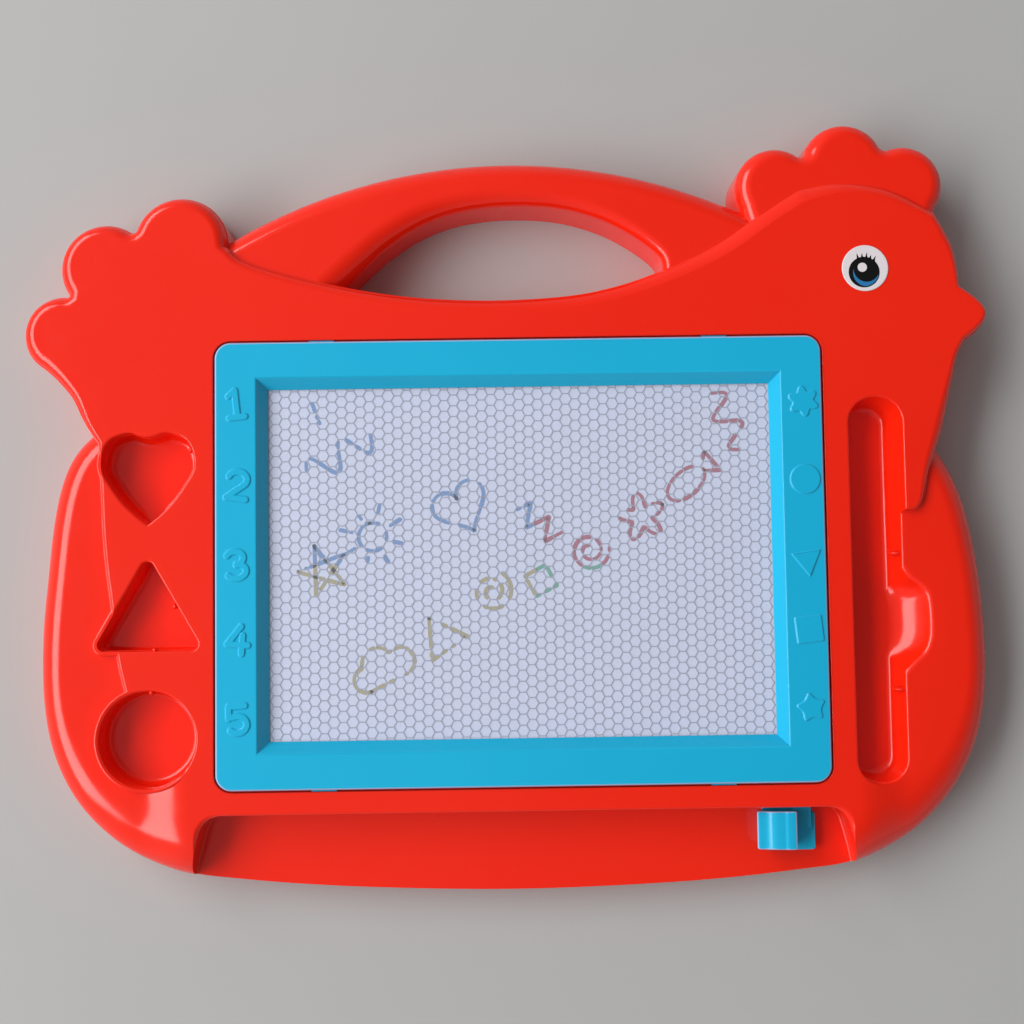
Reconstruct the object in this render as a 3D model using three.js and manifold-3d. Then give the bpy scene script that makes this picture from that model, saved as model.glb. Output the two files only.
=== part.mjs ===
// Hen-shaped magnetic slate, lying on its back: +X to the beak, +Y to the handle, +Z up from the table.
// Millimetres. One moulded shell holds a snap-in bezel, the magnetic screen and a sliding eraser.
import * as THREE from "three";
import { mergeVertices } from "three/addons/utils/BufferGeometryUtils.js";
import Module from "manifold-3d";

const wasm = await Module();
wasm.setup();

// Driving dimensions
// Shell levels above the table and moulding walls
const henTop = 22.5;
const ringTop = 20;
const combTop = 20.4;
const wall = 2.2;
const wallDraft = 0.3;
const rimRound = 0.7;
const overrun = 1;
const weldDistance = 0.0001;

// Bezel and its window
const bezelWidth = 184.2;
const bezelHeight = 134.9;
const bezelCorner = 4.8;
const bezelTop = 23.4;
const bezelWall = 2.35;
const bezelRound = 0.6;
const sideBar = 15.9;
const endBar = 14.95;
const windowCorner = 0.4;
const bevelRun = 4.3;
const bevelDepth = 3.7;

// How far the body reaches past the bezel
const sideReach = 57.9;
const endReach = 67.55;

// Edge forms: how far an edge runs inwards, how far it drops, and how much of it is a plain slope
const henEdge = { run: 3.8, drop: 3.8, slopeShare: 0 };
const stepEdge = { run: 2, drop: 2.5, slopeShare: 0 };
const beakEdge = { run: 1.6, drop: 3, slopeShare: 0 };
const frontSlope = { run: 9.6, drop: 2.9, slopeShare: 0.85 };
const ringEdge = { run: 7, drop: 7, slopeShare: 0 };
const ringFrontEdge = { run: 15, drop: 9.6, slopeShare: 0 };
const combEdge = { run: 4.6, drop: 4.6, slopeShare: 0 };
const handleEdge = { run: 6.4, drop: 7, slopeShare: 0 };
const openingEdge = { run: 6.4, drop: 6.6, slopeShare: 0 };
const plainEdge = { run: 0.4, drop: 0.4, slopeShare: 0 };
const notchRound = 2.2;

// Stamp recesses and their collars
const recessDepth = 9.5;
const recessDraft = 0.5;
const recessFloorRound = 1;
const heartWidth = 28.2;
const heartHeight = 28;
const triangleSide = 33.4;
const triangleCorner = 2;
const circleRadius = 14.6;
const collarWall = 1.3;
const collarDrop = 0.5;

// Pen trough, its finger scoop and the nibs that hold the pen
const troughWidth = 16.7;
const troughLength = 117.4;
const troughDepth = 10;
const troughTaper = 3.4;
const troughFloorRound = 2.3;
const troughEndFlat = 0.8;
const scoopReach = 15.4;
const scoopHalfLength = 17;
const scoopDepth = 9.2;
const nibLength = 3.4;
const nibWidth = 1.6;
const nibReach = 1;

// Front tray and the eraser's slot
const trayReach = 8.4;
const trayEndWidth = 9.5;
const trayEndDepth = 18.6;
const trayFloor = 10;
const trayFloorRound = 1;
const trayEndFloorRound = 5;
const trayEdgeRound = 0.8;
const bezelToTray = 7.45;

// Screen layers
const filmThickness = 0.3;
const coreThickness = 2;
const backFilmThickness = 0.4;
const layerGap = 0.05;
const screenCorner = 2;
const coreMargin = 2;

// Eraser
const eraserStop = 12.35;
const carrierWidth = 13.6;
const carrierThickness = 2.9;
const magnetWidth = 8;
const magnetThickness = 2;
const magnetGroove = 1;
const neckWidth = 14.6;
const neckThickness = 2.4;
const knobWidth = 16.6;
const knobDepth = 11.4;
const knobPlate = 3;
const knobHeight = 10.6;
const gripWidth = 11.2;
const gripCorner = 1;

// Clearances and small parts
const bezelGap = 0.85;
const runGap = 0.3;
const knobGap = 0.5;
const neckToWall = 1.4;
const pocketLedgeGap = 0.1;
const clipWidth = 7.6;
const clipReach = 0.5;
const clipNose = 0.7;
const clipHeight = 1.6;
const clipPlaceShare = 0.65;
const ribWall = 1.8;
const ribRows = 2;
const ribColumns = 6;
const eyeRadius = 7.1;
const eyeThickness = 0.2;

// The window, the eraser's stroke and the tray follow the bezel
const windowWidth = bezelWidth - 2 * sideBar;
const windowHeight = bezelHeight - 2 * endBar;
const eraserTravel = bezelWidth - 2 * eraserStop;
const trayHalfLength = bezelWidth / 2 + trayReach;

// Places on the body are shares of its reach from the bezel's centre
const across = bezelWidth / 2 + sideReach;
const along = bezelHeight / 2 + endReach;
const place = ([x, y]) => new THREE.Vector2(x * across, y * along);

// Tail, comb and head outlines, anticlockwise from the beak, as shares of the reach
const neckShares = [[0.776, 0.098], [0.8, 0.115], [0.83, 0.15], [0.85, 0.205], [0.864, 0.264]];
const breastShares = [[0.864, 0.264], [0.874, 0.331], [0.889, 0.4], [0.9, 0.452], [0.914, 0.485]];
const beakShares = [
  [0.914, 0.485], [0.938, 0.506], [0.958, 0.532], [0.96, 0.558], [0.943, 0.583], [0.908, 0.613],
];
const faceShares = [[0.908, 0.613], [0.905, 0.66], [0.895, 0.712], [0.864, 0.782]];
const crownShares = [[0.864, 0.782], [0.803, 0.824], [0.74, 0.85], [0.66, 0.858], [0.58, 0.84]];
const backShares = [
  [0.58, 0.84], [0.51, 0.79], [0.435, 0.73], [0.37, 0.69], [0.288, 0.652],
  [0.2, 0.62], [0.1, 0.6], [-0.05, 0.592], [-0.2, 0.6], [-0.335, 0.622], [-0.467, 0.657], [-0.56, 0.692],
  [-0.591, 0.725],
];
const plumeShares = [
  [[-0.591, 0.725], [-0.705, 0.838], [-0.782, 0.755]],
  [[-0.782, 0.755], [-0.904, 0.752], [-0.911, 0.613]],
  [[-0.911, 0.613], [-1.006, 0.538], [-0.968, 0.453]],
];
const rumpShares = [[-0.968, 0.453], [-0.94, 0.426], [-0.905, 0.382], [-0.877, 0.322], [-0.85, 0.279]];
const flankShares = [
  [-0.85, 0.279], [-0.846, 0.179], [-0.839, 0.038], [-0.824, -0.096], [-0.813, -0.2], [-0.798, -0.275],
];
const hiddenFlankShares = [[-0.798, -0.275], [-0.775, -0.36], [-0.75, -0.43], [-0.74, -0.49]];
const leftFrontShares = [[-0.74, -0.49], [-0.739, -0.56], [-0.72, -0.61], [-0.68, -0.635]];
const rightFrontShares = [[0.68, -0.635], [0.72, -0.61], [0.739, -0.56], [0.74, -0.49]];
const hiddenTroughShares = [
  [0.74, -0.49], [0.73, -0.4], [0.724, -0.2], [0.724, 0.04], [0.74, 0.085], [0.776, 0.098],
];

// Egg-shaped base ring, anticlockwise from its right side; its edge grows broader in the front part
const ringShares = [
  [0.936, 0.01], [0.876, 0.22], [0.729, 0.383], [0.561, 0.471], [0.415, 0.512], [0.251, 0.536],
  [0.011, 0.545], [-0.259, 0.538], [-0.448, 0.512], [-0.602, 0.468], [-0.74, 0.396], [-0.912, 0.233],
  [-0.977, -0.06], [-0.979, -0.322], [-0.93, -0.493], [-0.838, -0.613], [-0.714, -0.685], [-0.568, -0.712],
  [-0.325, -0.733], [-0.006, -0.743], [0.324, -0.732], [0.562, -0.709], [0.69, -0.684], [0.82, -0.6],
  [0.912, -0.463], [0.95, -0.274],
];
const ringFrontShare = 0.33;

// At both front corners the base rises to the hen's level: where the ramp starts and ends, across and along,
// and the rings of points that carry it, as shares of the front edge's run
const rampAcrossShares = [0.69, 0.757];
const rampAlongShares = [0.43, 0.49];
const rampRingShares = [1.15, 1.35, 1.6, 1.9, 2.2, 2.5];

// Comb lobes, each through three places, and their root behind the head; handle and its opening
const combLobeShares = [
  [[0.872, 0.8], [0.8629, 0.9176], [0.7633, 0.934]],
  [[0.7633, 0.934], [0.681, 0.998], [0.5957, 0.9189]],
  [[0.5957, 0.9189], [0.497, 0.932], [0.46, 0.815]],
];
const combRootShares = [[0.46, 0.815], [0.5, 0.74], [0.67, 0.72], [0.84, 0.74], [0.872, 0.8]];
const handleArcShares = [[0.6, 0.72], [-0.033, 0.921], [-0.66, 0.7]];
const handleRootShares = [[-0.66, 0.7], [-0.6, 0.5], [0.55, 0.5], [0.6, 0.72]];
const openingArchShares = [
  [0.296, 0.62], [0.3, 0.68], [0.272, 0.718], [0.204, 0.767], [0.136, 0.797], [0.069, 0.813],
  [0, 0.8215], [-0.067, 0.823], [-0.135, 0.8155], [-0.203, 0.797], [-0.271, 0.763], [-0.305, 0.736],
  [-0.339, 0.703],
  [-0.385, 0.65], [-0.385, 0.61],
];
const openingRootShares = [[-0.385, 0.61], [-0.3, 0.5], [0.22, 0.5], [0.296, 0.62]];

// Curved end of the front tray, from its back wall to the rim
const trayEndShares = [
  [0, 0], [0.29, 0.04], [0.49, 0.12], [0.64, 0.25], [0.75, 0.43], [0.84, 0.61], [0.92, 0.78], [1, 1],
];

// Recess, trough and eye places
const recessCentreShare = -0.751;
const heartMiddleShare = 0.196;
const heartShares = [
  [0, 0.95], [0.16, 0.965], [0.41, 1], [0.74, 0.95], [0.92, 0.85], [1, 0.7], [0.97, 0.57], [0.8, 0.425],
  [0.54, 0.243], [0.24, 0.095],
];
const triangleMiddleShare = -0.1175;
const circleMiddleShare = -0.385;
const troughCentreShare = 0.7237;
const troughMiddleShare = -0.0755;
const scoopMiddleShare = -0.146;
const nibShares = [0.006, -0.3];
const eyeCentreShare = [0.711, 0.652];

// Side view of the knob's grip, which swells up from its left edge and has a step on its right
const gripShares = [
  [0, 0.28], [0, 0.62], [0.06, 0.8], [0.18, 0.93], [0.34, 1], [0.7, 1], [0.76, 0.97], [0.97, 0.92], [1, 0.86],
];

// Counts of steps along curves
const roundSteps = 4;
const hollowSteps = 2;
const ringSteps = 3;
const hollowRingSteps = 2;
const lobeSteps = 9;
const hollowLobeSteps = 5;
const notchSteps = 3;
const handleSteps = 27;
const splineSteps = 2;
const cornerSteps = 5;
const endSteps = 8;
const circleSteps = 32;
const scoopSteps = 20;
const nibSteps = 8;
const bezelSteps = 3;
const plateSteps = 2;

// Outline helpers
const mix = (a, b, share) => a + (b - a) * share;

function mixEdge(a, b, share) {
  return {
    run: mix(a.run, b.run, share),
    drop: mix(a.drop, b.drop, share),
    slopeShare: mix(a.slopeShare, b.slopeShare, share),
  };
}

// One stretch of an outline, its last point left to the next stretch
function stretch(points, startEdge = plainEdge, endEdge = startEdge) {
  const last = points.length - 1;
  return points
    .slice(0, last)
    .map((p, i) => ({ x: p.x, y: p.y, edge: mixEdge(startEdge, endEdge, i / last) }));
}

// Joins stretches, with a round in place of the notch after each of the first ones
function softened(stretches, notches) {
  const outline = [];
  let trimmed = stretches[0];
  for (let i = 0; i < stretches.length; i++) {
    const next = stretches[i + 1];
    if (!next || i + 1 >= notches) {
      outline.push(...trimmed);
      trimmed = next;
      continue;
    }
    const notch = new THREE.Vector2(next[0].x, next[0].y);
    const clear = (p) => notch.distanceTo(p) > notchRound;
    const start = trimmed.filter(clear);
    trimmed = next.filter(clear);
    const { x, y, edge } = start.at(-1);
    const end = new THREE.Vector2(trimmed[0].x, trimmed[0].y);
    const bend = new THREE.QuadraticBezierCurve(new THREE.Vector2(x, y), notch, end).getPoints(notchSteps);
    outline.push(...start, ...bend.slice(1, -1).map((p) => ({ x: p.x, y: p.y, edge })));
  }
  return outline;
}

function spline(shares, steps = splineSteps) {
  const curve = new THREE.SplineCurve(shares.map(place));
  return curve.getPoints(steps * (shares.length - 1));
}

// Arc from the first place to the last, through the middle one
function arcThrough(shares, steps = lobeSteps) {
  const [a, b, c] = shares.map(place);
  const turn = 2 * (a.x * (b.y - c.y) + b.x * (c.y - a.y) + c.x * (a.y - b.y));
  const x = (a.lengthSq() * (b.y - c.y) + b.lengthSq() * (c.y - a.y) + c.lengthSq() * (a.y - b.y)) / turn;
  const y = (a.lengthSq() * (c.x - b.x) + b.lengthSq() * (a.x - c.x) + c.lengthSq() * (b.x - a.x)) / turn;
  const centre = new THREE.Vector2(x, y);
  const radius = centre.distanceTo(a);
  const start = Math.atan2(a.y - y, a.x - x);
  let sweep = Math.atan2(c.y - y, c.x - x) - start;
  if (turn > 0 && sweep < 0) sweep += 2 * Math.PI;
  if (turn < 0 && sweep > 0) sweep -= 2 * Math.PI;
  const points = [];
  for (let i = 0; i <= steps; i++) {
    const angle = start + (sweep * i) / steps;
    points.push(new THREE.Vector2(x + radius * Math.cos(angle), y + radius * Math.sin(angle)));
  }
  return points;
}

const origin = { x: 0, y: 0 };

function roundedRectangle(width, height, corner, centre = origin, edge = plainEdge, steps = cornerSteps) {
  const points = [];
  const corners = [[1, 1], [-1, 1], [-1, -1], [1, -1]];
  corners.forEach(([sideX, sideY], quarter) => {
    for (let i = 0; i <= steps; i++) {
      const angle = ((quarter + i / steps) * Math.PI) / 2;
      const x = centre.x + sideX * (width / 2 - corner) + corner * Math.cos(angle);
      const y = centre.y + sideY * (height / 2 - corner) + corner * Math.sin(angle);
      points.push({ x, y, edge });
    }
  });
  return points;
}

function circle(radius, centre, steps = circleSteps, edge = plainEdge) {
  return Array.from({ length: steps }, (_, i) => {
    const angle = (i / steps) * 2 * Math.PI;
    return { x: centre.x + radius * Math.cos(angle), y: centre.y + radius * Math.sin(angle), edge };
  });
}

// Solid between levels: each level gives a point's inset from the outline and its height, which lift adds to
function loft(outline, levels, lift = () => 0) {
  const count = outline.length;
  const mitres = outline.map((p, i) => {
    const before = outline[(i + count - 1) % count];
    const after = outline[(i + 1) % count];
    const into = new THREE.Vector2(p.x - before.x, p.y - before.y).normalize();
    const out = new THREE.Vector2(after.x - p.x, after.y - p.y).normalize();
    const normal = new THREE.Vector2(into.y + out.y, -into.x - out.x);
    return normal.divideScalar(1 + into.dot(out));
  });
  const positions = [];
  const index = [];
  const rings = levels.map((level) =>
    outline.map((p, i) => {
      const { inset, z } = level(p);
      const x = p.x - mitres[i].x * inset;
      const y = p.y - mitres[i].y * inset;
      positions.push(x, y, z + lift(x, y, z));
      return new THREE.Vector2(x, y);
    }),
  );
  for (let k = 0; k + 1 < rings.length; k++) {
    for (let i = 0; i < count; i++) {
      const next = (i + 1) % count;
      const [a, b] = [k * count + i, k * count + next];
      index.push(a, b, b + count, a, b + count, a + count);
    }
  }
  // Both caps take their triangles from the outline, so a narrow inset can't drop a point
  const top = (rings.length - 1) * count;
  const corners = outline.map(({ x, y }) => new THREE.Vector2(x, y));
  for (const [a, b, c] of THREE.ShapeUtils.triangulateShape(corners, [])) {
    const turn = corners[b].clone().sub(corners[a]).cross(corners[c].clone().sub(corners[a]));
    const [second, third] = turn > 0 ? [b, c] : [c, b];
    index.push(a, third, second, top + a, top + second, top + third);
  }
  const geometry = new THREE.BufferGeometry();
  geometry.setAttribute("position", new THREE.Float32BufferAttribute(positions, 3));
  geometry.setIndex(index);
  return solidOf(geometry);
}

// Levels of a moulded block: straight side, then each point's own edge form up to the top
function moulded(foot, top, { draft = wallDraft, steps = roundSteps, shrink = 0 } = {}) {
  const levels = [() => ({ inset: shrink, z: foot })];
  for (let i = 0; i <= steps; i++) {
    const share = i / steps;
    const angle = (share * Math.PI) / 2;
    levels.push(({ edge }) => {
      const run = Math.max(edge.run - shrink, plainEdge.run);
      const inwards = mix(1 - Math.cos(angle), share, edge.slopeShare);
      const down = mix(1 - Math.sin(angle), 1 - share, edge.slopeShare);
      return { inset: shrink + draft + run * inwards, z: top - shrink - edge.drop * down };
    });
  }
  return levels;
}

// The base ring rises to the hen's level between the two ramps at its front corners
function frontLift(x, y, z) {
  const [flat, foot] = rampAcrossShares.map((share) => share * across);
  const [back, front] = rampAlongShares.map((share) => share * along);
  const rise = 1 - THREE.MathUtils.smoothstep(Math.abs(x), flat, foot);
  const forward = THREE.MathUtils.smoothstep(-y, back, front);
  const low = ringTop - ringFrontEdge.drop;
  return (henTop - ringTop) * rise * forward * THREE.MathUtils.clamp((z - low) / (ringTop - low), 0, 1);
}

const ringLevels = () => [
  ...moulded(0, ringTop),
  ...rampRingShares.map((share) => () => ({ inset: share * ringFrontEdge.run, z: ringTop })),
];

const prism = (outline, low, high) =>
  loft(outline, [() => ({ inset: 0, z: low }), () => ({ inset: 0, z: high })]);

// Levels of the rounded rim at the surface that a recess is cut into
function rimLevels(surface, inset, rim) {
  const levels = [];
  for (let i = 0; rim > 0 && i <= hollowSteps; i++) {
    const angle = (i / hollowSteps) * (Math.PI / 2);
    const z = surface - rim * (1 - Math.sin(angle));
    levels.push(() => ({ inset: inset - rim * (1 - Math.cos(angle)), z }));
  }
  levels.push(() => ({ inset: inset - rim, z: surface + overrun + henTop - ringTop }));
  return levels;
}

// Levels of a recess: floor, rounded foot, drafted side and rim
function recess(surface, depth, { draft = recessDraft, floorRound = recessFloorRound, rim = rimRound } = {}) {
  const floor = surface - depth;
  const sideInset = (z) => (draft * (henTop - z)) / (henTop - floor);
  const levels = [];
  for (let i = 0; i <= hollowSteps; i++) {
    const angle = (i / hollowSteps) * (Math.PI / 2);
    const z = floor + floorRound * (1 - Math.cos(angle));
    levels.push(() => ({ inset: sideInset(z) + floorRound * (1 - Math.sin(angle)), z }));
  }
  return [...levels, ...rimLevels(surface, sideInset(surface - rim), rim)];
}

const cup = (outline, floor, draft, top = henTop - rimRound) =>
  loft(outline, [
    () => ({ inset: draft - wall, z: floor - wall }),
    () => ({ inset: -wall, z: top }),
  ]);

// Solid helpers
function solidOf(geometry) {
  const bare = geometry.clone();
  bare.deleteAttribute("normal");
  bare.deleteAttribute("uv");
  const merged = mergeVertices(bare, weldDistance);
  const vertProperties = new Float32Array(merged.attributes.position.array);
  const triVerts = new Uint32Array(merged.index.array);
  return new wasm.Manifold(new wasm.Mesh({ numProp: 3, vertProperties, triVerts }));
}

function box(width, depth, low, high, x = 0, y = 0) {
  const geometry = new THREE.BoxGeometry(width, depth, high - low);
  return solidOf(geometry.translate(x, y, (low + high) / 2));
}

const joined = (solids) => solids.reduce((sum, next) => sum.add(next));

function named(name, solid, finish) {
  const { numProp, vertProperties, triVerts } = solid.getMesh();
  const positions = new Float32Array((vertProperties.length / numProp) * 3);
  for (let i = 0; i * numProp < vertProperties.length; i++) {
    positions.set(vertProperties.subarray(i * numProp, i * numProp + 3), i * 3);
  }
  const geometry = new THREE.BufferGeometry();
  geometry.setAttribute("position", new THREE.BufferAttribute(positions, 3));
  geometry.setIndex(new THREE.BufferAttribute(new Uint32Array(triVerts), 1));
  const mesh = new THREE.Mesh(geometry, new THREE.MeshStandardMaterial({ flatShading: true, ...finish }));
  mesh.name = name;
  return mesh;
}

// Outlines of the body
function henOutline(steps, withBeak) {
  const head = withBeak
    ? [
        ...stretch(spline(breastShares, steps), henEdge, beakEdge),
        ...stretch(spline(beakShares, steps), beakEdge),
        ...stretch(spline(faceShares, steps), beakEdge, henEdge),
      ]
    : stretch([breastShares[0], beakShares[0], faceShares[0], crownShares[0]].map(place), henEdge);
  const plumes = plumeShares.map((shares) => stretch(arcThrough(shares, lobeSteps), henEdge));
  return [
    ...stretch(spline(neckShares, steps), stepEdge, henEdge),
    ...head,
    ...stretch(spline(crownShares, steps), henEdge, stepEdge),
    ...stretch(spline(backShares, steps), stepEdge),
    ...softened(plumes, plumes.length),
    ...stretch(spline(rumpShares, steps), henEdge, stepEdge),
    ...stretch(spline(flankShares, steps), stepEdge),
    ...stretch(spline(hiddenFlankShares, steps), stepEdge, frontSlope),
    ...stretch(spline(leftFrontShares, steps), frontSlope),
    ...stretch([place(leftFrontShares.at(-1)), place(rightFrontShares[0])], frontSlope),
    ...stretch(spline(rightFrontShares, steps), frontSlope),
    ...stretch(spline(hiddenTroughShares, steps), frontSlope, stepEdge),
  ];
}

function ringOutline(steps) {
  const places = ringShares.map(place).map(({ x, y }) => new THREE.Vector3(x, y, 0));
  const curve = new THREE.CatmullRomCurve3(places, true, "catmullrom");
  const points = curve.getPoints(steps * places.length).slice(1);
  const front = Math.max(...points.map((p) => -p.y));
  return points.map(({ x, y }) => {
    const forward = THREE.MathUtils.smoothstep(-y, ringFrontShare * front, front);
    return { x, y, edge: mixEdge(ringEdge, ringFrontEdge, forward) };
  });
}

function handleOutline(steps) {
  const [start, ...arc] = stretch(arcThrough(handleArcShares, steps), handleEdge);
  return [{ ...start, edge: plainEdge }, ...arc, ...stretch(spline(handleRootShares, 1), plainEdge)];
}

const openingOutline = (steps) => [
  ...stretch(spline(openingArchShares, steps), openingEdge),
  ...stretch(spline(openingRootShares, 1), plainEdge),
];

function combOutline(steps) {
  const lobes = combLobeShares.map((shares) => stretch(arcThrough(shares, steps), combEdge));
  return softened([...lobes, stretch(spline(combRootShares, 1), plainEdge)], combLobeShares.length);
}

// Recess outlines
const recessCentre = (share) => new THREE.Vector2(recessCentreShare * across, share * along);

function heartOutline() {
  const { x, y } = recessCentre(heartMiddleShare);
  const half = new THREE.SplineCurve(
    heartShares.map(([side, up]) => new THREE.Vector2((side * heartWidth) / 2, (up - 1 / 2) * heartHeight)),
  ).getPoints(2 * (heartShares.length - 1));
  const tip = new THREE.Vector2(0, -heartHeight / 2);
  const left = half.slice(1).map((p) => new THREE.Vector2(-p.x, p.y));
  const right = half.slice(1).reverse();
  return [half[0], ...left, tip, ...right].map((p) => ({ x: x + p.x, y: y + p.y, edge: plainEdge }));
}

function triangleOutline() {
  const { x, y } = recessCentre(triangleMiddleShare);
  const inner = triangleSide / (2 * Math.sqrt(3)) - triangleCorner;
  const points = [];
  for (let corner = 0; corner < 3; corner++) {
    const middle = Math.PI / 2 + (corner * 2 * Math.PI) / 3;
    const centre = { x: x + 2 * inner * Math.cos(middle), y: y + 2 * inner * Math.sin(middle) };
    for (let i = 0; i <= cornerSteps; i++) {
      const angle = middle + (i / cornerSteps - 1 / 2) * ((2 * Math.PI) / 3);
      points.push({
        x: centre.x + triangleCorner * Math.cos(angle),
        y: centre.y + triangleCorner * Math.sin(angle),
        edge: plainEdge,
      });
    }
  }
  return points;
}

const circleOutline = () => circle(circleRadius, recessCentre(circleMiddleShare));

const troughCentre = new THREE.Vector2(troughCentreShare * across, troughMiddleShare * along);
const troughCorner = (troughWidth - troughEndFlat) / 2;
const troughOutline = () =>
  roundedRectangle(troughWidth, troughLength, troughCorner, troughCentre, plainEdge, endSteps);

// Pocket sizes follow the bezel, the screen and the eraser
const pocketWidth = bezelWidth + 2 * bezelGap;
const pocketHeight = bezelHeight + 2 * bezelGap;
const screenWidth = bezelWidth - 2 * (bezelWall + runGap);
const screenHeight = bezelHeight - 2 * (bezelWall + runGap);
const coreWidth = screenWidth - 2 * coreMargin;
const coreHeight = screenHeight - 2 * coreMargin;
const filmTop = bezelTop - bevelDepth - layerGap;
const coreTop = filmTop - filmThickness - layerGap;
const backFilmTop = coreTop - coreThickness - layerGap;
const ledge = backFilmTop - backFilmThickness - layerGap;
const magnetTop = ledge - runGap;
const carrierTop = magnetTop - magnetThickness + magnetGroove - layerGap;
const carrierLow = carrierTop - carrierThickness;
const pocketFloor = carrierLow - runGap;
const trayWallY = -bezelHeight / 2 - bezelToTray;
const carrierWell = {
  width: eraserTravel + neckWidth + 2 * (runGap + neckToWall),
  height: bezelHeight - 2 * (bezelWall + coreMargin + bezelRound + runGap),
};
const carrierLength = carrierWell.height - 2 * runGap;
const slotWidth = eraserTravel + neckWidth + 2 * runGap;
const neckLow = carrierLow + runGap / 2;
const eraserRest = eraserTravel / 2;
const bezelFoot = ledge + pocketLedgeGap;
const clipLow = bezelFoot + clipNose;

// Shell: outer skins, less the hollows behind them, plus cups and ribs, less the recesses
function trayOutline() {
  const end = trayEndShares.map(([x, y]) => ({
    x: trayHalfLength + (x - 1) * trayEndWidth,
    y: trayWallY - y * trayEndDepth,
    edge: { run: mix(trayFloorRound, trayEndFloorRound, x) },
  }));
  const right = [...end, { ...end.at(-1), y: -along - overrun }];
  return [...right.toReversed(), ...right.map((p) => ({ ...p, x: -p.x }))];
}

function trayCut(grow, low) {
  const outline = trayOutline();
  const grown = () => ({ inset: -grow, z: low });
  if (grow > 0) return loft(outline, [grown, () => ({ inset: -grow, z: henTop + overrun })]);
  const levels = [];
  for (let i = 0; i <= roundSteps; i++) {
    const angle = (i / roundSteps) * (Math.PI / 2);
    levels.push(({ edge }) => ({
      inset: edge.run * (1 - Math.sin(angle)), z: low + edge.run * (1 - Math.cos(angle)),
    }));
  }
  return loft(outline, [...levels, ...rimLevels(henTop, 0, trayEdgeRound)]);
}

function scoopCut(grow) {
  const x = troughCentre.x + troughWidth / 2 - (scoopReach - scoopDepth) / 2;
  const sphere = new THREE.SphereGeometry(1, scoopSteps, scoopSteps / 2);
  sphere.scale(scoopReach - nibReach + grow, scoopHalfLength + grow, scoopDepth + grow);
  return solidOf(sphere.translate(x - nibReach, scoopMiddleShare * along, ringTop + rimRound));
}

function ribs(floor) {
  const list = [];
  for (let i = 1; i <= ribColumns; i++) {
    const x = (i / (ribColumns + 1) - 1 / 2) * carrierWell.width;
    list.push(box(ribWall, carrierWell.height + wall, 0, floor, x));
  }
  for (let i = 1; i <= ribRows; i++) {
    const y = (i / (ribRows + 1) - 1 / 2) * carrierWell.height;
    list.push(box(carrierWell.width + wall, ribWall, 0, floor, 0, y));
  }
  return joined(list);
}

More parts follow.
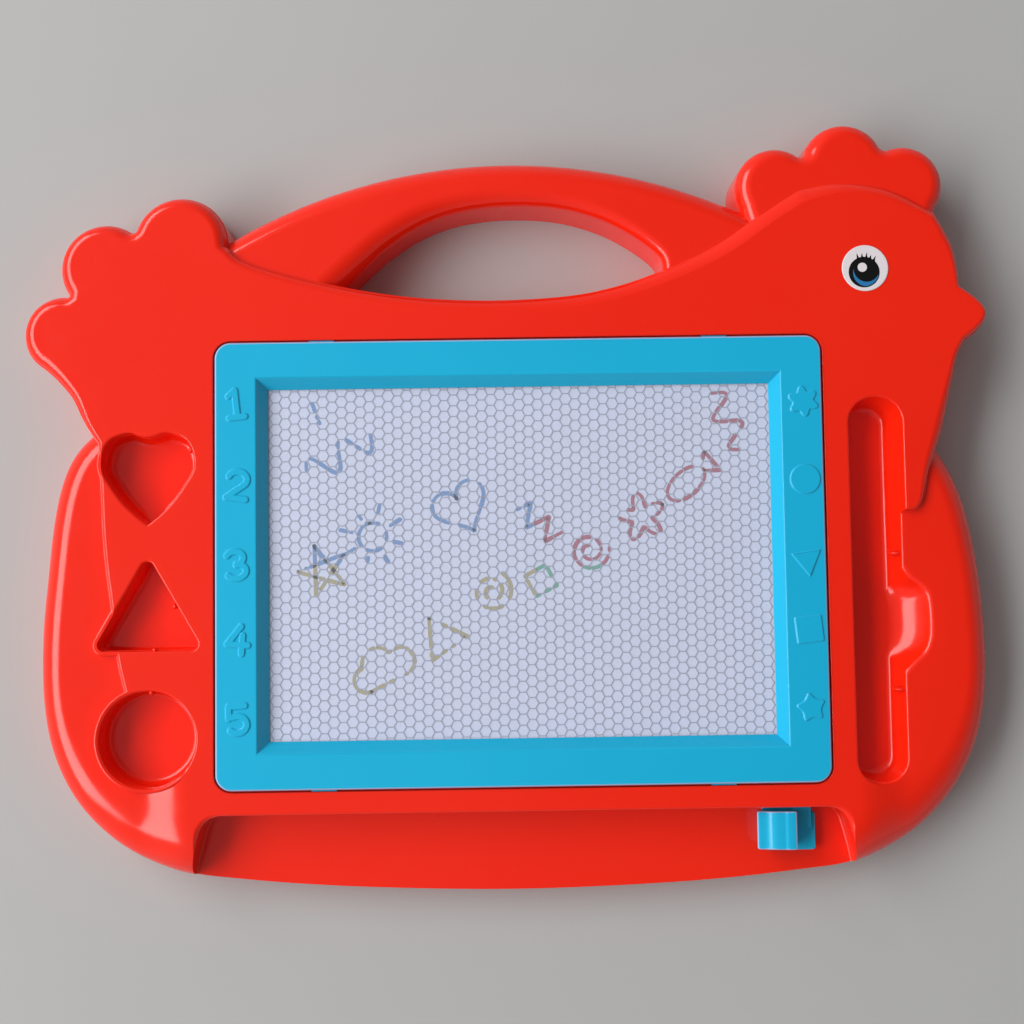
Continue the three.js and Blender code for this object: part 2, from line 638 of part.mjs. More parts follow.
function makeShell() {
  const hen = henOutline(splineSteps, true);
  const ring = ringOutline(ringSteps);
  const handle = handleOutline(handleSteps);
  const comb = combOutline(lobeSteps);
  const opening = openingOutline(1);

  const heart = heartOutline();
  const triangle = triangleOutline();
  const round = circleOutline();
  const trough = troughOutline();
  const troughForm = { draft: troughTaper, floorRound: troughFloorRound };

  const henSkin = joined([
    loft(hen, moulded(0, henTop)),
    ...[heart, triangle, round].map((outline) => {
      const collar = outline.map((p) => ({ ...p, edge: plainEdge }));
      return loft(collar, [
        () => ({ inset: -collarWall, z: pocketFloor }),
        () => ({ inset: -collarWall, z: henTop - collarDrop - plainEdge.drop }),
        () => ({ inset: plainEdge.run - collarWall, z: henTop - collarDrop }),
      ]);
    }),
  ])
    .subtract(loft(heart, recess(henTop, recessDepth)))
    .subtract(loft(triangle, recess(henTop, recessDepth)))
    .subtract(loft(round, recess(henTop, recessDepth)))
    .subtract(loft(trough, recess(henTop, troughDepth, troughForm)));
  const ringSkin = loft(ring, ringLevels(), frontLift)
    .subtract(loft(heart, recess(henTop, recessDepth, { rim: 0 })))
    .subtract(loft(triangle, recess(henTop, recessDepth, { rim: 0 })))
    .subtract(loft(round, recess(henTop, recessDepth, { rim: 0 })))
    .subtract(loft(trough, recess(ringTop, troughDepth + ringTop - henTop, troughForm)));
  const openingCut = loft(opening, [
    () => ({ inset: 0, z: -overrun }),
    ...openingLevels(ringTop, 0),
    ({ edge }) => ({ inset: -edge.run, z: henTop + overrun }),
  ]);
  const handleSkin = loft(handle, moulded(0, ringTop)).subtract(openingCut);
  const skins = joined([henSkin, ringSkin, handleSkin, loft(comb, moulded(0, combTop))])
    .subtract(trayCut(0, trayFloor))
    .subtract(scoopCut(0));

  const hollowForm = { steps: hollowSteps, shrink: wall };
  const henHollow = loft(henOutline(1, false), moulded(-overrun, henTop, hollowForm));
  const hollow = joined([
    henHollow,
    loft(ringOutline(hollowRingSteps), moulded(-overrun, ringTop, hollowForm)),
    loft(handleOutline(lobeSteps), moulded(-overrun, ringTop, hollowForm)),
    loft(combOutline(hollowLobeSteps), moulded(-overrun, combTop, hollowForm)),
  ]);

  const floor = henTop - recessDepth;
  const cups = joined([
    cup(heart, floor, recessDraft),
    cup(triangle, floor, recessDraft),
    cup(round, floor, recessDraft),
    cup(trough, henTop - troughDepth, troughTaper),
    scoopCut(wall),
    trayCut(wall, trayFloor - wall),
    loft(opening, [() => ({ inset: -wall, z: 0 }), ...openingLevels(ringTop, wall)]).subtract(henHollow),
    prism(
      roundedRectangle(pocketWidth + 2 * wall, pocketHeight + 2 * wall, bezelCorner + bezelGap + wall),
      ledge - wall,
      henTop - wall / 2,
    ),
    box(carrierWell.width + 2 * wall, carrierWell.height + 2 * wall, pocketFloor - wall, ledge),
    ribs(pocketFloor - wall / 2),
  ]);

  const slotLow = neckLow - runGap;
  const slotHigh = neckLow + neckThickness + runGap;
  const slotDepth = -trayWallY - carrierWell.height / 2;
  const slotMiddle = (trayWallY - carrierWell.height / 2) / 2;
  const clipHole = {
    width: clipWidth + 2 * runGap,
    low: clipLow - runGap,
    high: clipLow + clipHeight + runGap,
  };
  const cuts = joined([
    prism(roundedRectangle(pocketWidth, pocketHeight, bezelCorner + bezelGap), ledge, bezelTop),
    box(carrierWell.width, carrierWell.height, pocketFloor, ledge + overrun),
    box(slotWidth, slotDepth + 2 * (wall + overrun), slotLow, slotHigh, 0, slotMiddle),
    ...clipPlaces().map(({ x, side }) =>
      box(clipHole.width, 2 * (wall + overrun), clipHole.low, clipHole.high, x, (side * pocketHeight) / 2),
    ),
  ]);
  return skins.subtract(hollow).add(cups.intersect(skins)).subtract(cuts).add(nibs());
}

// Two pairs of nibs across the trough, just under its rim
function nibs() {
  const list = [];
  for (const share of nibShares) {
    for (const side of [-1, 1]) {
      const nib = new THREE.SphereGeometry(1, nibSteps, nibSteps / 2);
      nib.scale(2 * nibReach, nibWidth / 2, nibLength / 2);
      const x = troughCentre.x + side * (troughWidth / 2 - nibReach / 2);
      list.push(solidOf(nib.translate(x, share * along, ringTop - nibLength)));
    }
  }
  return joined(list);
}

// Quarter round over the handle opening's rim, and the same round seen from inside the wall
function openingLevels(top, shrink) {
  const levels = [];
  for (let i = 0; i <= roundSteps; i++) {
    const angle = (i / roundSteps) * (Math.PI / 2);
    levels.push(({ edge }) => {
      const run = Math.max(edge.run - shrink, 0);
      const drop = Math.max(edge.drop - shrink, 0);
      return { inset: -shrink - run * (1 - Math.cos(angle)), z: top - shrink - drop * (1 - Math.sin(angle)) };
    });
  }
  return levels;
}

// Bezel: outer block less the bevelled window and the hollow under its top, plus four snap clips
function clipPlaces() {
  const places = [];
  for (const side of [-1, 1]) {
    for (const end of [-1, 1]) places.push({ x: (end * clipPlaceShare * bezelWidth) / 2, side });
  }
  return places;
}

function makeBezel() {
  const edge = { run: bezelRound, drop: bezelRound, slopeShare: 0 };
  const outer = roundedRectangle(bezelWidth, bezelHeight, bezelCorner, origin, edge);
  const window = roundedRectangle(windowWidth, windowHeight, windowCorner, origin, plainEdge, 1);
  const windowCut = loft(window, [
    () => ({ inset: 0, z: bezelFoot - overrun }),
    () => ({ inset: 0, z: filmTop + layerGap }),
    () => ({ inset: -bevelRun, z: bezelTop }),
    () => ({ inset: -bevelRun, z: bezelTop + overrun }),
  ]);
  const inside = roundedRectangle(
    bezelWidth - 2 * bezelWall, bezelHeight - 2 * bezelWall, bezelCorner - bezelWall,
  );
  const channel = prism(inside, bezelFoot - overrun, filmTop + layerGap);
  const clips = clipPlaces().map(({ x, side }) => {
    const y = (side * bezelHeight) / 2;
    const tongue = box(clipWidth, 2 * clipReach, bezelFoot, bezelTop - bezelGap - bezelRound, x, y);
    return tongue.add(box(clipWidth, 2 * (bezelGap + clipNose), clipLow, clipLow + clipHeight, x, y));
  });
  const body = loft(outer, moulded(bezelFoot, bezelTop, { draft: 0, steps: bezelSteps }));
  return joined([body, ...clips]).subtract(windowCut).subtract(channel);
}

// Screen layers
const sheet = (width, height, low, thickness) =>
  prism(roundedRectangle(width, height, screenCorner), low, low + thickness);

// Eraser carrier: bar with a magnet groove, and a neck out to the knob
function makeCarrier() {
  const bar = box(carrierWidth, carrierLength, carrierLow, carrierTop, eraserRest);
  const grooveWidth = magnetWidth + 2 * layerGap;
  const grooveLength = windowHeight + 2 * layerGap;
  const groove = box(grooveWidth, grooveLength, carrierTop - magnetGroove, carrierTop + overrun, eraserRest);
  const neckEnd = trayWallY - neckToWall - knobDepth / 2;
  const neckStart = -carrierLength / 2 + magnetWidth / 2;
  const neck = box(
    neckWidth, neckStart - neckEnd, neckLow, neckLow + neckThickness, eraserRest, (neckStart + neckEnd) / 2,
  );
  return bar.add(neck).subtract(groove);
}

// Knob: a plate and a grip, bored for the end of the neck
function makeKnob() {
  const low = trayFloor + knobGap;
  const left = eraserRest - knobWidth / 2;
  const profile = new THREE.Shape();
  profile.moveTo(left, 0);
  gripShares.forEach(([x, z]) => profile.lineTo(left + x * gripWidth, z * knobHeight));
  profile.lineTo(left + gripWidth, 0);
  const form = new THREE.ExtrudeGeometry(profile, { depth: knobDepth, bevelEnabled: false });
  form.rotateX(Math.PI / 2);
  const middle = trayWallY - neckToWall - knobDepth / 2;
  form.translate(0, middle + knobDepth / 2, low);
  const gripCentre = { x: left + gripWidth / 2, y: middle };
  const grip = solidOf(form).intersect(
    prism(roundedRectangle(gripWidth, knobDepth, gripCorner, gripCentre), low, low + knobHeight + overrun),
  );
  const plateOutline = roundedRectangle(knobWidth, knobDepth, gripCorner, { x: eraserRest, y: middle });
  const plate = loft(plateOutline, moulded(low, low + knobPlate, { draft: 0, steps: plateSteps }));
  const socket = box(
    neckWidth + 2 * layerGap, knobDepth + neckToWall, neckLow - layerGap, neckLow + neckThickness + layerGap,
    eraserRest, middle + knobDepth / 2 + neckToWall / 2 - layerGap,
  );
  return grip.add(plate).subtract(socket);
}

// Assembly
const red = { color: 0xf0301c, roughness: 0.28, metalness: 0 };
const blue = { color: 0x27aedb, roughness: 0.3, metalness: 0 };
const eyeCentre = place(eyeCentreShare);
const eyeLow = henTop + layerGap;
const parts = new THREE.Group();
parts.add(
  named("shell", makeShell(), red),
  named("bezel", makeBezel(), blue),
  named("front_film", sheet(screenWidth, screenHeight, filmTop - filmThickness, filmThickness), {
    color: 0xc8cde4, roughness: 0.2, metalness: 0, transparent: true, opacity: 0.35,
  }),
  named("honeycomb_core", sheet(coreWidth, coreHeight, coreTop - coreThickness, coreThickness), {
    color: 0xc3c8e1, roughness: 0.6, metalness: 0,
  }),
  named("back_film", sheet(screenWidth, screenHeight, backFilmTop - backFilmThickness, backFilmThickness), {
    color: 0xe4e6ee, roughness: 0.4, metalness: 0,
  }),
  named("eraser_carrier", makeCarrier(), blue),
  named("magnet_strip", box(magnetWidth, windowHeight, magnetTop - magnetThickness, magnetTop, eraserRest), {
    color: 0x2e2a28, roughness: 0.7, metalness: 0,
  }),
  named("eraser_knob", makeKnob(), blue),
  named("eye_sticker", prism(circle(eyeRadius, eyeCentre), eyeLow, eyeLow + eyeThickness), {
    color: 0xf4f6f8, roughness: 0.35, metalness: 0,
  }),
);

// The origin is under the centre of the outline
const extent = new THREE.Box3().setFromObject(parts);
const centre = extent.getCenter(new THREE.Vector3());
parts.position.set(-centre.x, -centre.y, -extent.min.z);

const slate = new THREE.Group();
slate.add(parts);

export default slate;
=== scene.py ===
# Hen-shaped magnetic slate, lying on its back on a pale table.
# Outlines and heights are in millimetres, meshes in metres in the model's own frame.
from math import atan, atan2, cos, pi, radians, sin, sqrt

import bmesh
import bpy
import numpy as np
from mathutils import Matrix, Vector


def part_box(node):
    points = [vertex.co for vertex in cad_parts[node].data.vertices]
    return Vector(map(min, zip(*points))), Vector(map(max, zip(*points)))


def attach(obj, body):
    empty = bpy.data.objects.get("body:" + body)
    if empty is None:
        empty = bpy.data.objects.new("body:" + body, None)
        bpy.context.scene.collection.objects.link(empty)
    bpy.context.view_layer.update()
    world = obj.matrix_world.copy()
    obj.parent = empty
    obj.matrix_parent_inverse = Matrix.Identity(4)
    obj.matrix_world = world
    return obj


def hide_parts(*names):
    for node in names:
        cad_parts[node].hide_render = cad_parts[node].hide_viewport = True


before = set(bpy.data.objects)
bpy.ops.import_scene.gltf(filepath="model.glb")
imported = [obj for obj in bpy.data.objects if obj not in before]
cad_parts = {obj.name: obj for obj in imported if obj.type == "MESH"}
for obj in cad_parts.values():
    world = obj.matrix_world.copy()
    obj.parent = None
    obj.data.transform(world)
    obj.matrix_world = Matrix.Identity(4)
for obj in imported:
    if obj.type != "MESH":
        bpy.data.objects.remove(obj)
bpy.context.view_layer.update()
scene = bpy.context.scene
MM = 0.001

# ---- Sizes of the moulding, in millimetres ----
HEN_TOP = 22.5
RING_TOP = 20.0
COMB_TOP = 20.4
WALL = 2.2
DRAFT = 0.3
BEZEL = np.array([184.2, 134.9])
BEZEL_TOP = 23.4
BEZEL_CORNER = 4.8
WINDOW = BEZEL - [2 * 15.6, 2 * 14.1]
BEVEL_RUN = 3.3
REACH = BEZEL / 2 + [57.9, 67.55]
FILM_TOP = 19.65
BEZEL_FOOT = 16.9
LEDGE = 16.8
WELL_FLOOR = 12.25
WELL = np.array([177.5, 124.4])
TRAY_FLOOR = 10.0
TRAY_WALL_Y = -BEZEL[1] / 2 - 7.45
TRAY_HALF = BEZEL[0] / 2 + 8.4
BEZEL_WALL = 2.35
BEZEL_GAP = 0.6
GAP_FLOOR = 21.0
STAMP_DEPTH, STAMP_COVE, ROUND_STAMP, COLLAR = 9.5, 2.2, 14.6, 1.3
TROUGH_WIDTH, TROUGH_LENGTH, TROUGH_DEPTH = 16.7, 117.4, 10
RIB = 1.8
NECK_SLOT, NECK_LOW, NECK_HIGH = [174.7, 19.1], 12.4, 15.4
CLIP_WIDTH, CLIP_PLAY = 7.6, 0.6
NOTCH = 2.2
OVERRUN = 4

bezel_low, bezel_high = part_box("bezel")
CENTRE = (np.array(bezel_low) + np.array(bezel_high))[:2] / 2 / MM


def edge(run, drop, slope=0.0, foot=0.0):
    """An edge's run inwards and its drop, how much of that is a plain slope, and the fillet at its foot."""
    return np.array([run, drop, slope, foot])


HEN_EDGE = edge(3.8, 3.8)
STEP_EDGE = edge(0.9, 0.9, foot=0.6)
CROWN_EDGE = edge(4.5, 2.3, 0.7)
BACK_EDGE = edge(2.6, 2.0, foot=0.4)
BEAK_EDGE = edge(1.6, 3.0)
RING_EDGE = edge(7.8, 7.8)
RING_FRONT_EDGE = edge(15.0, 9.6)
COMB_EDGE = edge(4.6, 4.6)
HANDLE_EDGE = edge(6.4, 7.0)
OPENING_RIGHT, OPENING_LEFT = edge(2.4, 2.8), edge(8.0, 7.0)
PLAIN_EDGE = edge(0.4, 0.4)

# ---- Outlines: places as shares of the reach from the bezel's centre, anticlockwise ----
NECK = [
    [0.784, 0.1], [0.8, 0.101], [0.812, 0.112], [0.82, 0.133], [0.827, 0.163], [0.839, 0.208], [0.864, 0.281],
]
BREAST = [[0.864, 0.281], [0.876, 0.338], [0.889, 0.4], [0.9, 0.452], [0.914, 0.485]]
BEAK = [[0.914, 0.485], [0.938, 0.506], [0.958, 0.532], [0.96, 0.558], [0.943, 0.583], [0.908, 0.613]]
FACE = [[0.908, 0.613], [0.905, 0.66], [0.895, 0.712], [0.864, 0.782]]
CROWN = [[0.864, 0.782], [0.803, 0.824], [0.74, 0.85], [0.66, 0.858], [0.58, 0.84]]
BACK = [
    [0.58, 0.84], [0.51, 0.79], [0.435, 0.73], [0.37, 0.69], [0.288, 0.652], [0.2, 0.62], [0.1, 0.6],
    [-0.05, 0.592], [-0.2, 0.6], [-0.335, 0.622], [-0.467, 0.657], [-0.56, 0.692], [-0.591, 0.725],
]
PLUMES = [
    [[-0.591, 0.725], [-0.705, 0.838], [-0.782, 0.755]],
    [[-0.782, 0.755], [-0.904, 0.752], [-0.911, 0.613]],
    [[-0.911, 0.613], [-1.006, 0.538], [-0.968, 0.453]],
]
RUMP = [[-0.968, 0.453], [-0.94, 0.426], [-0.905, 0.382], [-0.877, 0.322], [-0.85, 0.279]]
FLANK = [[-0.85, 0.279], [-0.846, 0.179], [-0.839, 0.038], [-0.824, -0.096], [-0.813, -0.2], [-0.798, -0.275]]
HIDDEN_FLANK = [[-0.798, -0.275], [-0.775, -0.36], [-0.72, -0.43], [-0.66, -0.5]]
LEFT_FRONT = [[-0.66, -0.5], [-0.655, -0.56], [-0.64, -0.6], [-0.6, -0.625]]
RIGHT_FRONT = [[-x, y] for x, y in LEFT_FRONT[::-1]]
HIDDEN_TROUGH = [
    [0.66, -0.5], [0.7, -0.45], [0.724, -0.3], [0.724, -0.2], [0.724, 0.04], [0.74, 0.09], [0.784, 0.1],
]
RING = [
    [0.936, 0.01], [0.876, 0.22], [0.729, 0.383], [0.561, 0.471], [0.415, 0.512], [0.251, 0.536],
    [0.011, 0.545], [-0.259, 0.538], [-0.448, 0.512], [-0.602, 0.468], [-0.74, 0.396], [-0.921, 0.247],
    [-0.9735, -0.06], [-0.9755, -0.322], [-0.93, -0.493], [-0.838, -0.613], [-0.714, -0.685],
    [-0.568, -0.712], [-0.325, -0.733], [-0.006, -0.743], [0.324, -0.732], [0.562, -0.709], [0.69, -0.684],
    [0.82, -0.6], [0.912, -0.463], [0.95, -0.274],
]
COMB_LOBES = [
    [[0.872, 0.8], [0.8629, 0.9176], [0.7633, 0.934]],
    [[0.7633, 0.934], [0.681, 0.998], [0.5957, 0.9189]],
    [[0.5957, 0.9189], [0.497, 0.932], [0.46, 0.815]],
]
COMB_ROOT = [[0.46, 0.815], [0.5, 0.74], [0.67, 0.72], [0.84, 0.74], [0.872, 0.8]]
HANDLE_ARC = [[0.6, 0.72], [-0.033, 0.921], [-0.66, 0.7]]
HANDLE_ROOT = [[-0.66, 0.7], [-0.6, 0.5], [0.55, 0.5], [0.6, 0.72]]
OPENING_ARCH = [
    [0.296, 0.62], [0.3, 0.68], [0.272, 0.718], [0.204, 0.767], [0.136, 0.797], [0.069, 0.813], [0, 0.8175],
    [-0.067, 0.814], [-0.135, 0.8], [-0.2, 0.772], [-0.262, 0.728], [-0.3, 0.692], [-0.335, 0.655],
    [-0.37, 0.615], [-0.385, 0.59],
]
OPENING_ROOT = [[-0.385, 0.59], [-0.3, 0.5], [0.22, 0.5], [0.296, 0.62]]
SCOOP_RIM = [
    [6.6, -20.5], [7.6, -18], [8.4, -16.3], [9.4, -15.1], [11.8, -12.9], [14.1, -10.8], [15.5, -8.6],
    [16.5, -5.5], [16.8, -2.4], [16.7, 3.7], [16.0, 8.3], [14.0, 11.3], [11.7, 13.1], [9.9, 14.5],
    [8.6, 16.6], [7.4, 19], [6.6, 21],
]
SCOOP_FOOT = [
    [3.0, -9.6], [3.4, -9.4], [4.0, -8.9], [4.3, -7], [4.3, 0], [4.3, 5], [4.0, 6.9], [3.4, 7.5], [3.0, 7.7],
]
TRAY_END = [
    [0, 0], [0.29, 0.04], [0.49, 0.12], [0.64, 0.25], [0.75, 0.43], [0.84, 0.61], [0.92, 0.78], [1, 1],
]
HEART = [
    [0, 0.95], [0.16, 0.965], [0.41, 1], [0.74, 0.95], [0.92, 0.85], [1, 0.7], [0.97, 0.57], [0.8, 0.425],
    [0.54, 0.243], [0.24, 0.095],
]


# ---- Outline helpers: an outline is a table of x, y and the four numbers of each point's edge ----
FINE = 24
CORNERS = np.array([(1, 1), (-1, 1), (-1, -1), (1, -1)])


def catmull(points):
    """Catmull-Rom curve through the points, its ends included."""
    p = np.vstack([points[:1], points, points[-1:]])
    t = np.linspace(0, 1, FINE, endpoint=False)[:, None]
    parts = []
    for a, b, c, d in zip(p, p[1:], p[2:], p[3:]):
        bend, twist = 2 * a - 5 * b + 4 * c - d, 3 * b - a - 3 * c + d
        parts.append(b + (c - a) * t / 2 + bend * t**2 / 2 + twist * t**3 / 2)
    return np.vstack(parts + [p[-1:]])


def curve(start, middle, end, t):
    """Place at share t of a curve that the middle point pulls aside."""
    return (1 - t) ** 2 * start + 2 * t * (1 - t) * middle + t**2 * end


def eased(value, low, high):
    """Soft step from 0 to 1."""
    t = np.clip((value - low) / (high - low), 0, 1)
    return t * t * (3 - 2 * t)


def evenly(points, step):
    """The same line in equal steps of about that length."""
    lengths = np.concatenate([[0], np.cumsum(np.linalg.norm(np.diff(points, axis=0), axis=1))])
    at = np.linspace(0, lengths[-1], max(1, round(lengths[-1] / step)) + 1)
    return np.column_stack([np.interp(at, lengths, points[:, k]) for k in (0, 1)])


def stretch(points, start=PLAIN_EDGE, end=None):
    """One stretch of an outline without its last point, its edge changing from start to end."""
    share = np.linspace(0, 1, len(points))[:-1, None]
    end = start if end is None else end
    return np.hstack([points[:-1], start + (end - start) * share])


def around(angles):
    """Points of a unit circle at those angles."""
    return np.column_stack([np.cos(angles), np.sin(angles)])


def quarter(steps):
    """Angles of a quarter turn."""
    return np.linspace(0, pi / 2, steps + 1)


def spline(shares, step=1.2):
    return evenly(catmull(np.array(shares) * REACH), step)


def arc_through(shares, step=1.2):
    """Arc from the first place to the last, through the middle one."""
    a, b, c = (complex(*p) for p in np.array(shares) * REACH)
    w = (c - a) / (b - a)
    centre = (b - a) * (w - abs(w) ** 2) / (2j * w.imag) + a
    radius = abs(a - centre)
    start = np.angle(a - centre)
    turn = np.angle((c - centre) / (a - centre))
    if turn * w.imag < 0:
        turn += 2 * pi * np.sign(w.imag)
    angles = start + np.linspace(0, turn, max(2, round(radius * abs(turn) / step)) + 1)
    return [centre.real, centre.imag] + radius * around(angles)


def notched(stretches):
    """Joins stretches, with a round in place of the notch between each two."""
    outline = stretches[0]
    for after in stretches[1:]:
        notch = after[0, :2]
        outline = outline[np.linalg.norm(outline[:, :2] - notch, axis=1) > NOTCH]
        after = after[np.linalg.norm(after[:, :2] - notch, axis=1) > NOTCH]
        t = np.linspace(0, 1, 7)[1:-1, None]
        bend = curve(outline[-1, :2], notch, after[0, :2], t)
        outline = np.vstack([outline, np.hstack([bend, np.tile(after[0, 2:], (len(t), 1))]), after])
    return outline


def with_edge(points, form=PLAIN_EDGE):
    return np.hstack([points, np.tile(form, (len(points), 1))])


def rounded_rectangle(size, corner, centre=(0, 0), form=PLAIN_EDGE, steps=8):
    points = []
    for k, side in enumerate(CORNERS):
        middle = centre + side * (np.array(size) / 2 - corner)
        points.append(middle + corner * around(k * pi / 2 + quarter(steps)))
    return with_edge(np.vstack(points), form)


def circle(radius, centre=(0, 0), steps=72):
    return with_edge(centre + radius * around(np.arange(steps) / steps * 2 * pi))


def outward(outline):
    """Mitred outward direction at each point."""
    p = outline[:, :2]
    into = p - np.roll(p, 1, axis=0)
    out = np.roll(into, -1, axis=0)
    into, out = (v / np.linalg.norm(v, axis=1)[:, None] for v in (into, out))
    normal = np.column_stack([into[:, 1] + out[:, 1], -into[:, 0] - out[:, 0]])
    return normal / (1 + (into * out).sum(1))[:, None]


def settled(outline, draft=DRAFT):
    """Shortens an edge's run where the outline turns too tightly for it, so that its levels never cross."""
    outline = outline.copy()
    directions = outward(outline)
    sides = np.roll(outline[:, :2], -1, axis=0) - outline[:, :2]
    for _ in range(200):
        inner = outline[:, :2] - directions * (outline[:, 2] + draft + 0.2)[:, None]
        folded = ((np.roll(inner, -1, axis=0) - inner) * sides).sum(1) < 0.15 * (sides**2).sum(1)
        if not folded.any():
            break
        near = folded | np.roll(folded, 1)
        for _ in range(3):
            near = near | np.roll(near, 1) | np.roll(near, -1)
        outline[near, 2] *= 0.95
        run = outline[:, 2]
        outline[:, 2] = np.minimum(run, (np.roll(run, 1) + 2 * run + np.roll(run, -1)) / 4 + 0.02)
    return outline


# ---- Solids ----
def placed(name, data):
    """A new object in the scene."""
    made = bpy.data.objects.new(name, data)
    scene.collection.objects.link(made)
    return made


def solid(vertices, faces):
    mesh = bpy.data.meshes.new("solid")
    mesh.from_pydata((np.asarray(vertices) * MM).tolist(), [], faces)
    return mesh


def loft(outline, levels, centre=CENTRE, lift=None):
    """Solid between levels, which give the inset from the outline and the height, plain or for each point."""
    count = len(outline)
    directions = outward(outline)
    rings = []
    for inset, z in levels:
        inset = np.broadcast_to(np.asarray(inset, float), count)[:, None]
        xy = outline[:, :2] - directions * inset
        z = np.broadcast_to(np.asarray(z, float), count)
        rings.append(np.column_stack([xy + centre, z + lift(xy, z) if lift else z]))
    return stacked(rings)


def bands(count, rings, first=0):
    """Faces between rings of that many points."""
    faces = []
    for start in range(first, first + (rings - 1) * count, count):
        for i in range(count):
            a, b = start + i, start + (i + 1) % count
            faces.append([a, b, b + count, a + count])
    return faces


def stacked(rings):
    """Closed solid through rings of equally many points."""
    count = len(rings[0])
    faces = [list(range(count))[::-1], list(range((len(rings) - 1) * count, len(rings) * count))]
    return solid(np.vstack(rings), faces + bands(count, len(rings)))


def moulded(outline, low, top, steps=10, draft=DRAFT, shrink=0.0, foot_level=None, inner=(), lift=None):
    """Moulded block: straight side, a fillet where it stands on a lower level, and each point's edge form."""
    run, drop, slope, foot = outline[:, 2:].T
    run = np.maximum(run - shrink, 0.4)
    levels = [(shrink, low)]
    if foot_level is not None:
        edge_start = top - drop
        levels.append((shrink, np.minimum(foot_level - 0.5, edge_start - 0.8)))
        for k, angle in enumerate(quarter(4)):
            height = foot_level + foot * (1 - cos(angle))
            levels.append((shrink - foot * (1 - sin(angle)), np.minimum(height, edge_start - 0.6 + 0.1 * k)))
    for share in np.linspace(0, 1, steps + 1):
        angle = share * pi / 2
        inwards = (1 - cos(angle)) * (1 - slope) + share * slope
        down = (1 - sin(angle)) * (1 - slope) + (1 - share) * slope
        levels.append((shrink + draft + run * inwards, top - shrink - drop * down))
    levels += [(inset, top) for inset in inner]
    return loft(outline, levels, lift=lift)


def front_lift(xy, z):
    """How far the base ring rises towards the hen's level, between the ramps at its two front corners."""
    level = 1 - eased(abs(xy[:, 0]), 0.672 * REACH[0], 0.775 * REACH[0])
    forward = eased(-xy[:, 1], 0.4 * REACH[1], 0.46 * REACH[1])
    side = np.clip((z - RING_TOP + RING_FRONT_EDGE[1]) / RING_FRONT_EDGE[1], 0, 1)
    return (HEN_TOP - RING_TOP) * level * forward * side


def prism(outline, low, high):
    return loft(outline, [(0, low), (0, high)])


def recess(outline, surface, depth, draft=0.5, cove=1.0, rim=0.7, steps=8):
    """Cutter for a recess: floor, cove, drafted side, and a rounded rim at the surface it is cut into."""
    floor = surface - depth
    form = np.zeros((len(outline), 4))
    form[:, 0] = cove
    outline = settled(np.hstack([outline[:, :2], form]), draft)
    cove = outline[:, 2]
    lean = lambda z: draft * (HEN_TOP - z) / (HEN_TOP - floor)
    levels = []
    for angle in quarter(steps):
        z = floor + cove * (1 - cos(angle))
        levels.append((lean(z) + cove * (1 - sin(angle)), z))
    if rim:
        for angle in quarter(steps):
            z = surface - rim * (1 - sin(angle))
            levels.append((lean(surface - rim) - rim * (1 - cos(angle)), z))
    levels.append((lean(surface - rim) - rim, surface + OVERRUN))
    return loft(outline, levels)


def trough_cut(outline, surface):
    """Pen trough: steep on the screen's side, leaning away on the other, its two ends rounded like a bowl."""
    facing = outward(outline)
    draft = 2.1 + 1.4 * facing[:, 0] + 0.6 * facing[:, 1] ** 2
    cove = 1.1 + 0.5 * facing[:, 0] + 1.2 * facing[:, 1] ** 2
    return recess(outline, surface, surface - HEN_TOP + TROUGH_DEPTH, draft, cove)


def cup(outline, depth, draft):
    return loft(outline, [(draft - WALL, HEN_TOP - depth - WALL), (-WALL, HEN_TOP - 0.7)])


def block(size, low, high, x=0.0, y=0.0):
    return prism(with_edge([x, y] - CORNERS * np.array(size) / 2), low, high)


def ellipsoid(radii, centre, count, up):
    """Closed ellipsoid of quads with a fan at each pole."""
    vertices = [[0, 0, -1]]
    for v in -pi / 2 + pi * np.arange(1, up) / up:
        vertices += [[cos(v) * cos(u), cos(v) * sin(u), sin(v)] for u in 2 * pi * np.arange(count) / count]
    vertices.append([0, 0, 1])
    last = len(vertices) - 1
    faces = [[0, 1 + (i + 1) % count, 1 + i] for i in range(count)] + bands(count, up - 1, 1)
    top = 1 + (up - 2) * count
    faces += [[last, top + i, top + (i + 1) % count] for i in range(count)]
    place = np.array([*(np.array(centre[:2]) + CENTRE), centre[2]])
    return solid(np.array(vertices) * radii + place, faces)


def combined(first, *steps):
    """Boolean work: steps are ("UNION" or "DIFFERENCE" or "INTERSECT", solid, solid...)."""
    made = placed("combined", first)
    helpers = []
    for operation, *others in steps:
        for other in others:
            helpers.append(placed("helper", other))
            modifier = made.modifiers.new("boolean", "BOOLEAN")
            modifier.operation = operation
            modifier.solver = "MANIFOLD"
            modifier.object = helpers[-1]
    result = bpy.data.meshes.new_from_object(made.evaluated_get(bpy.context.evaluated_depsgraph_get()))
    for used in [made, *helpers]:
        mesh = used.data
        bpy.data.objects.remove(used)
        bpy.data.meshes.remove(mesh)
    return result


def joined(*solids):
    return combined(solids[0], ("UNION", *solids[1:]))


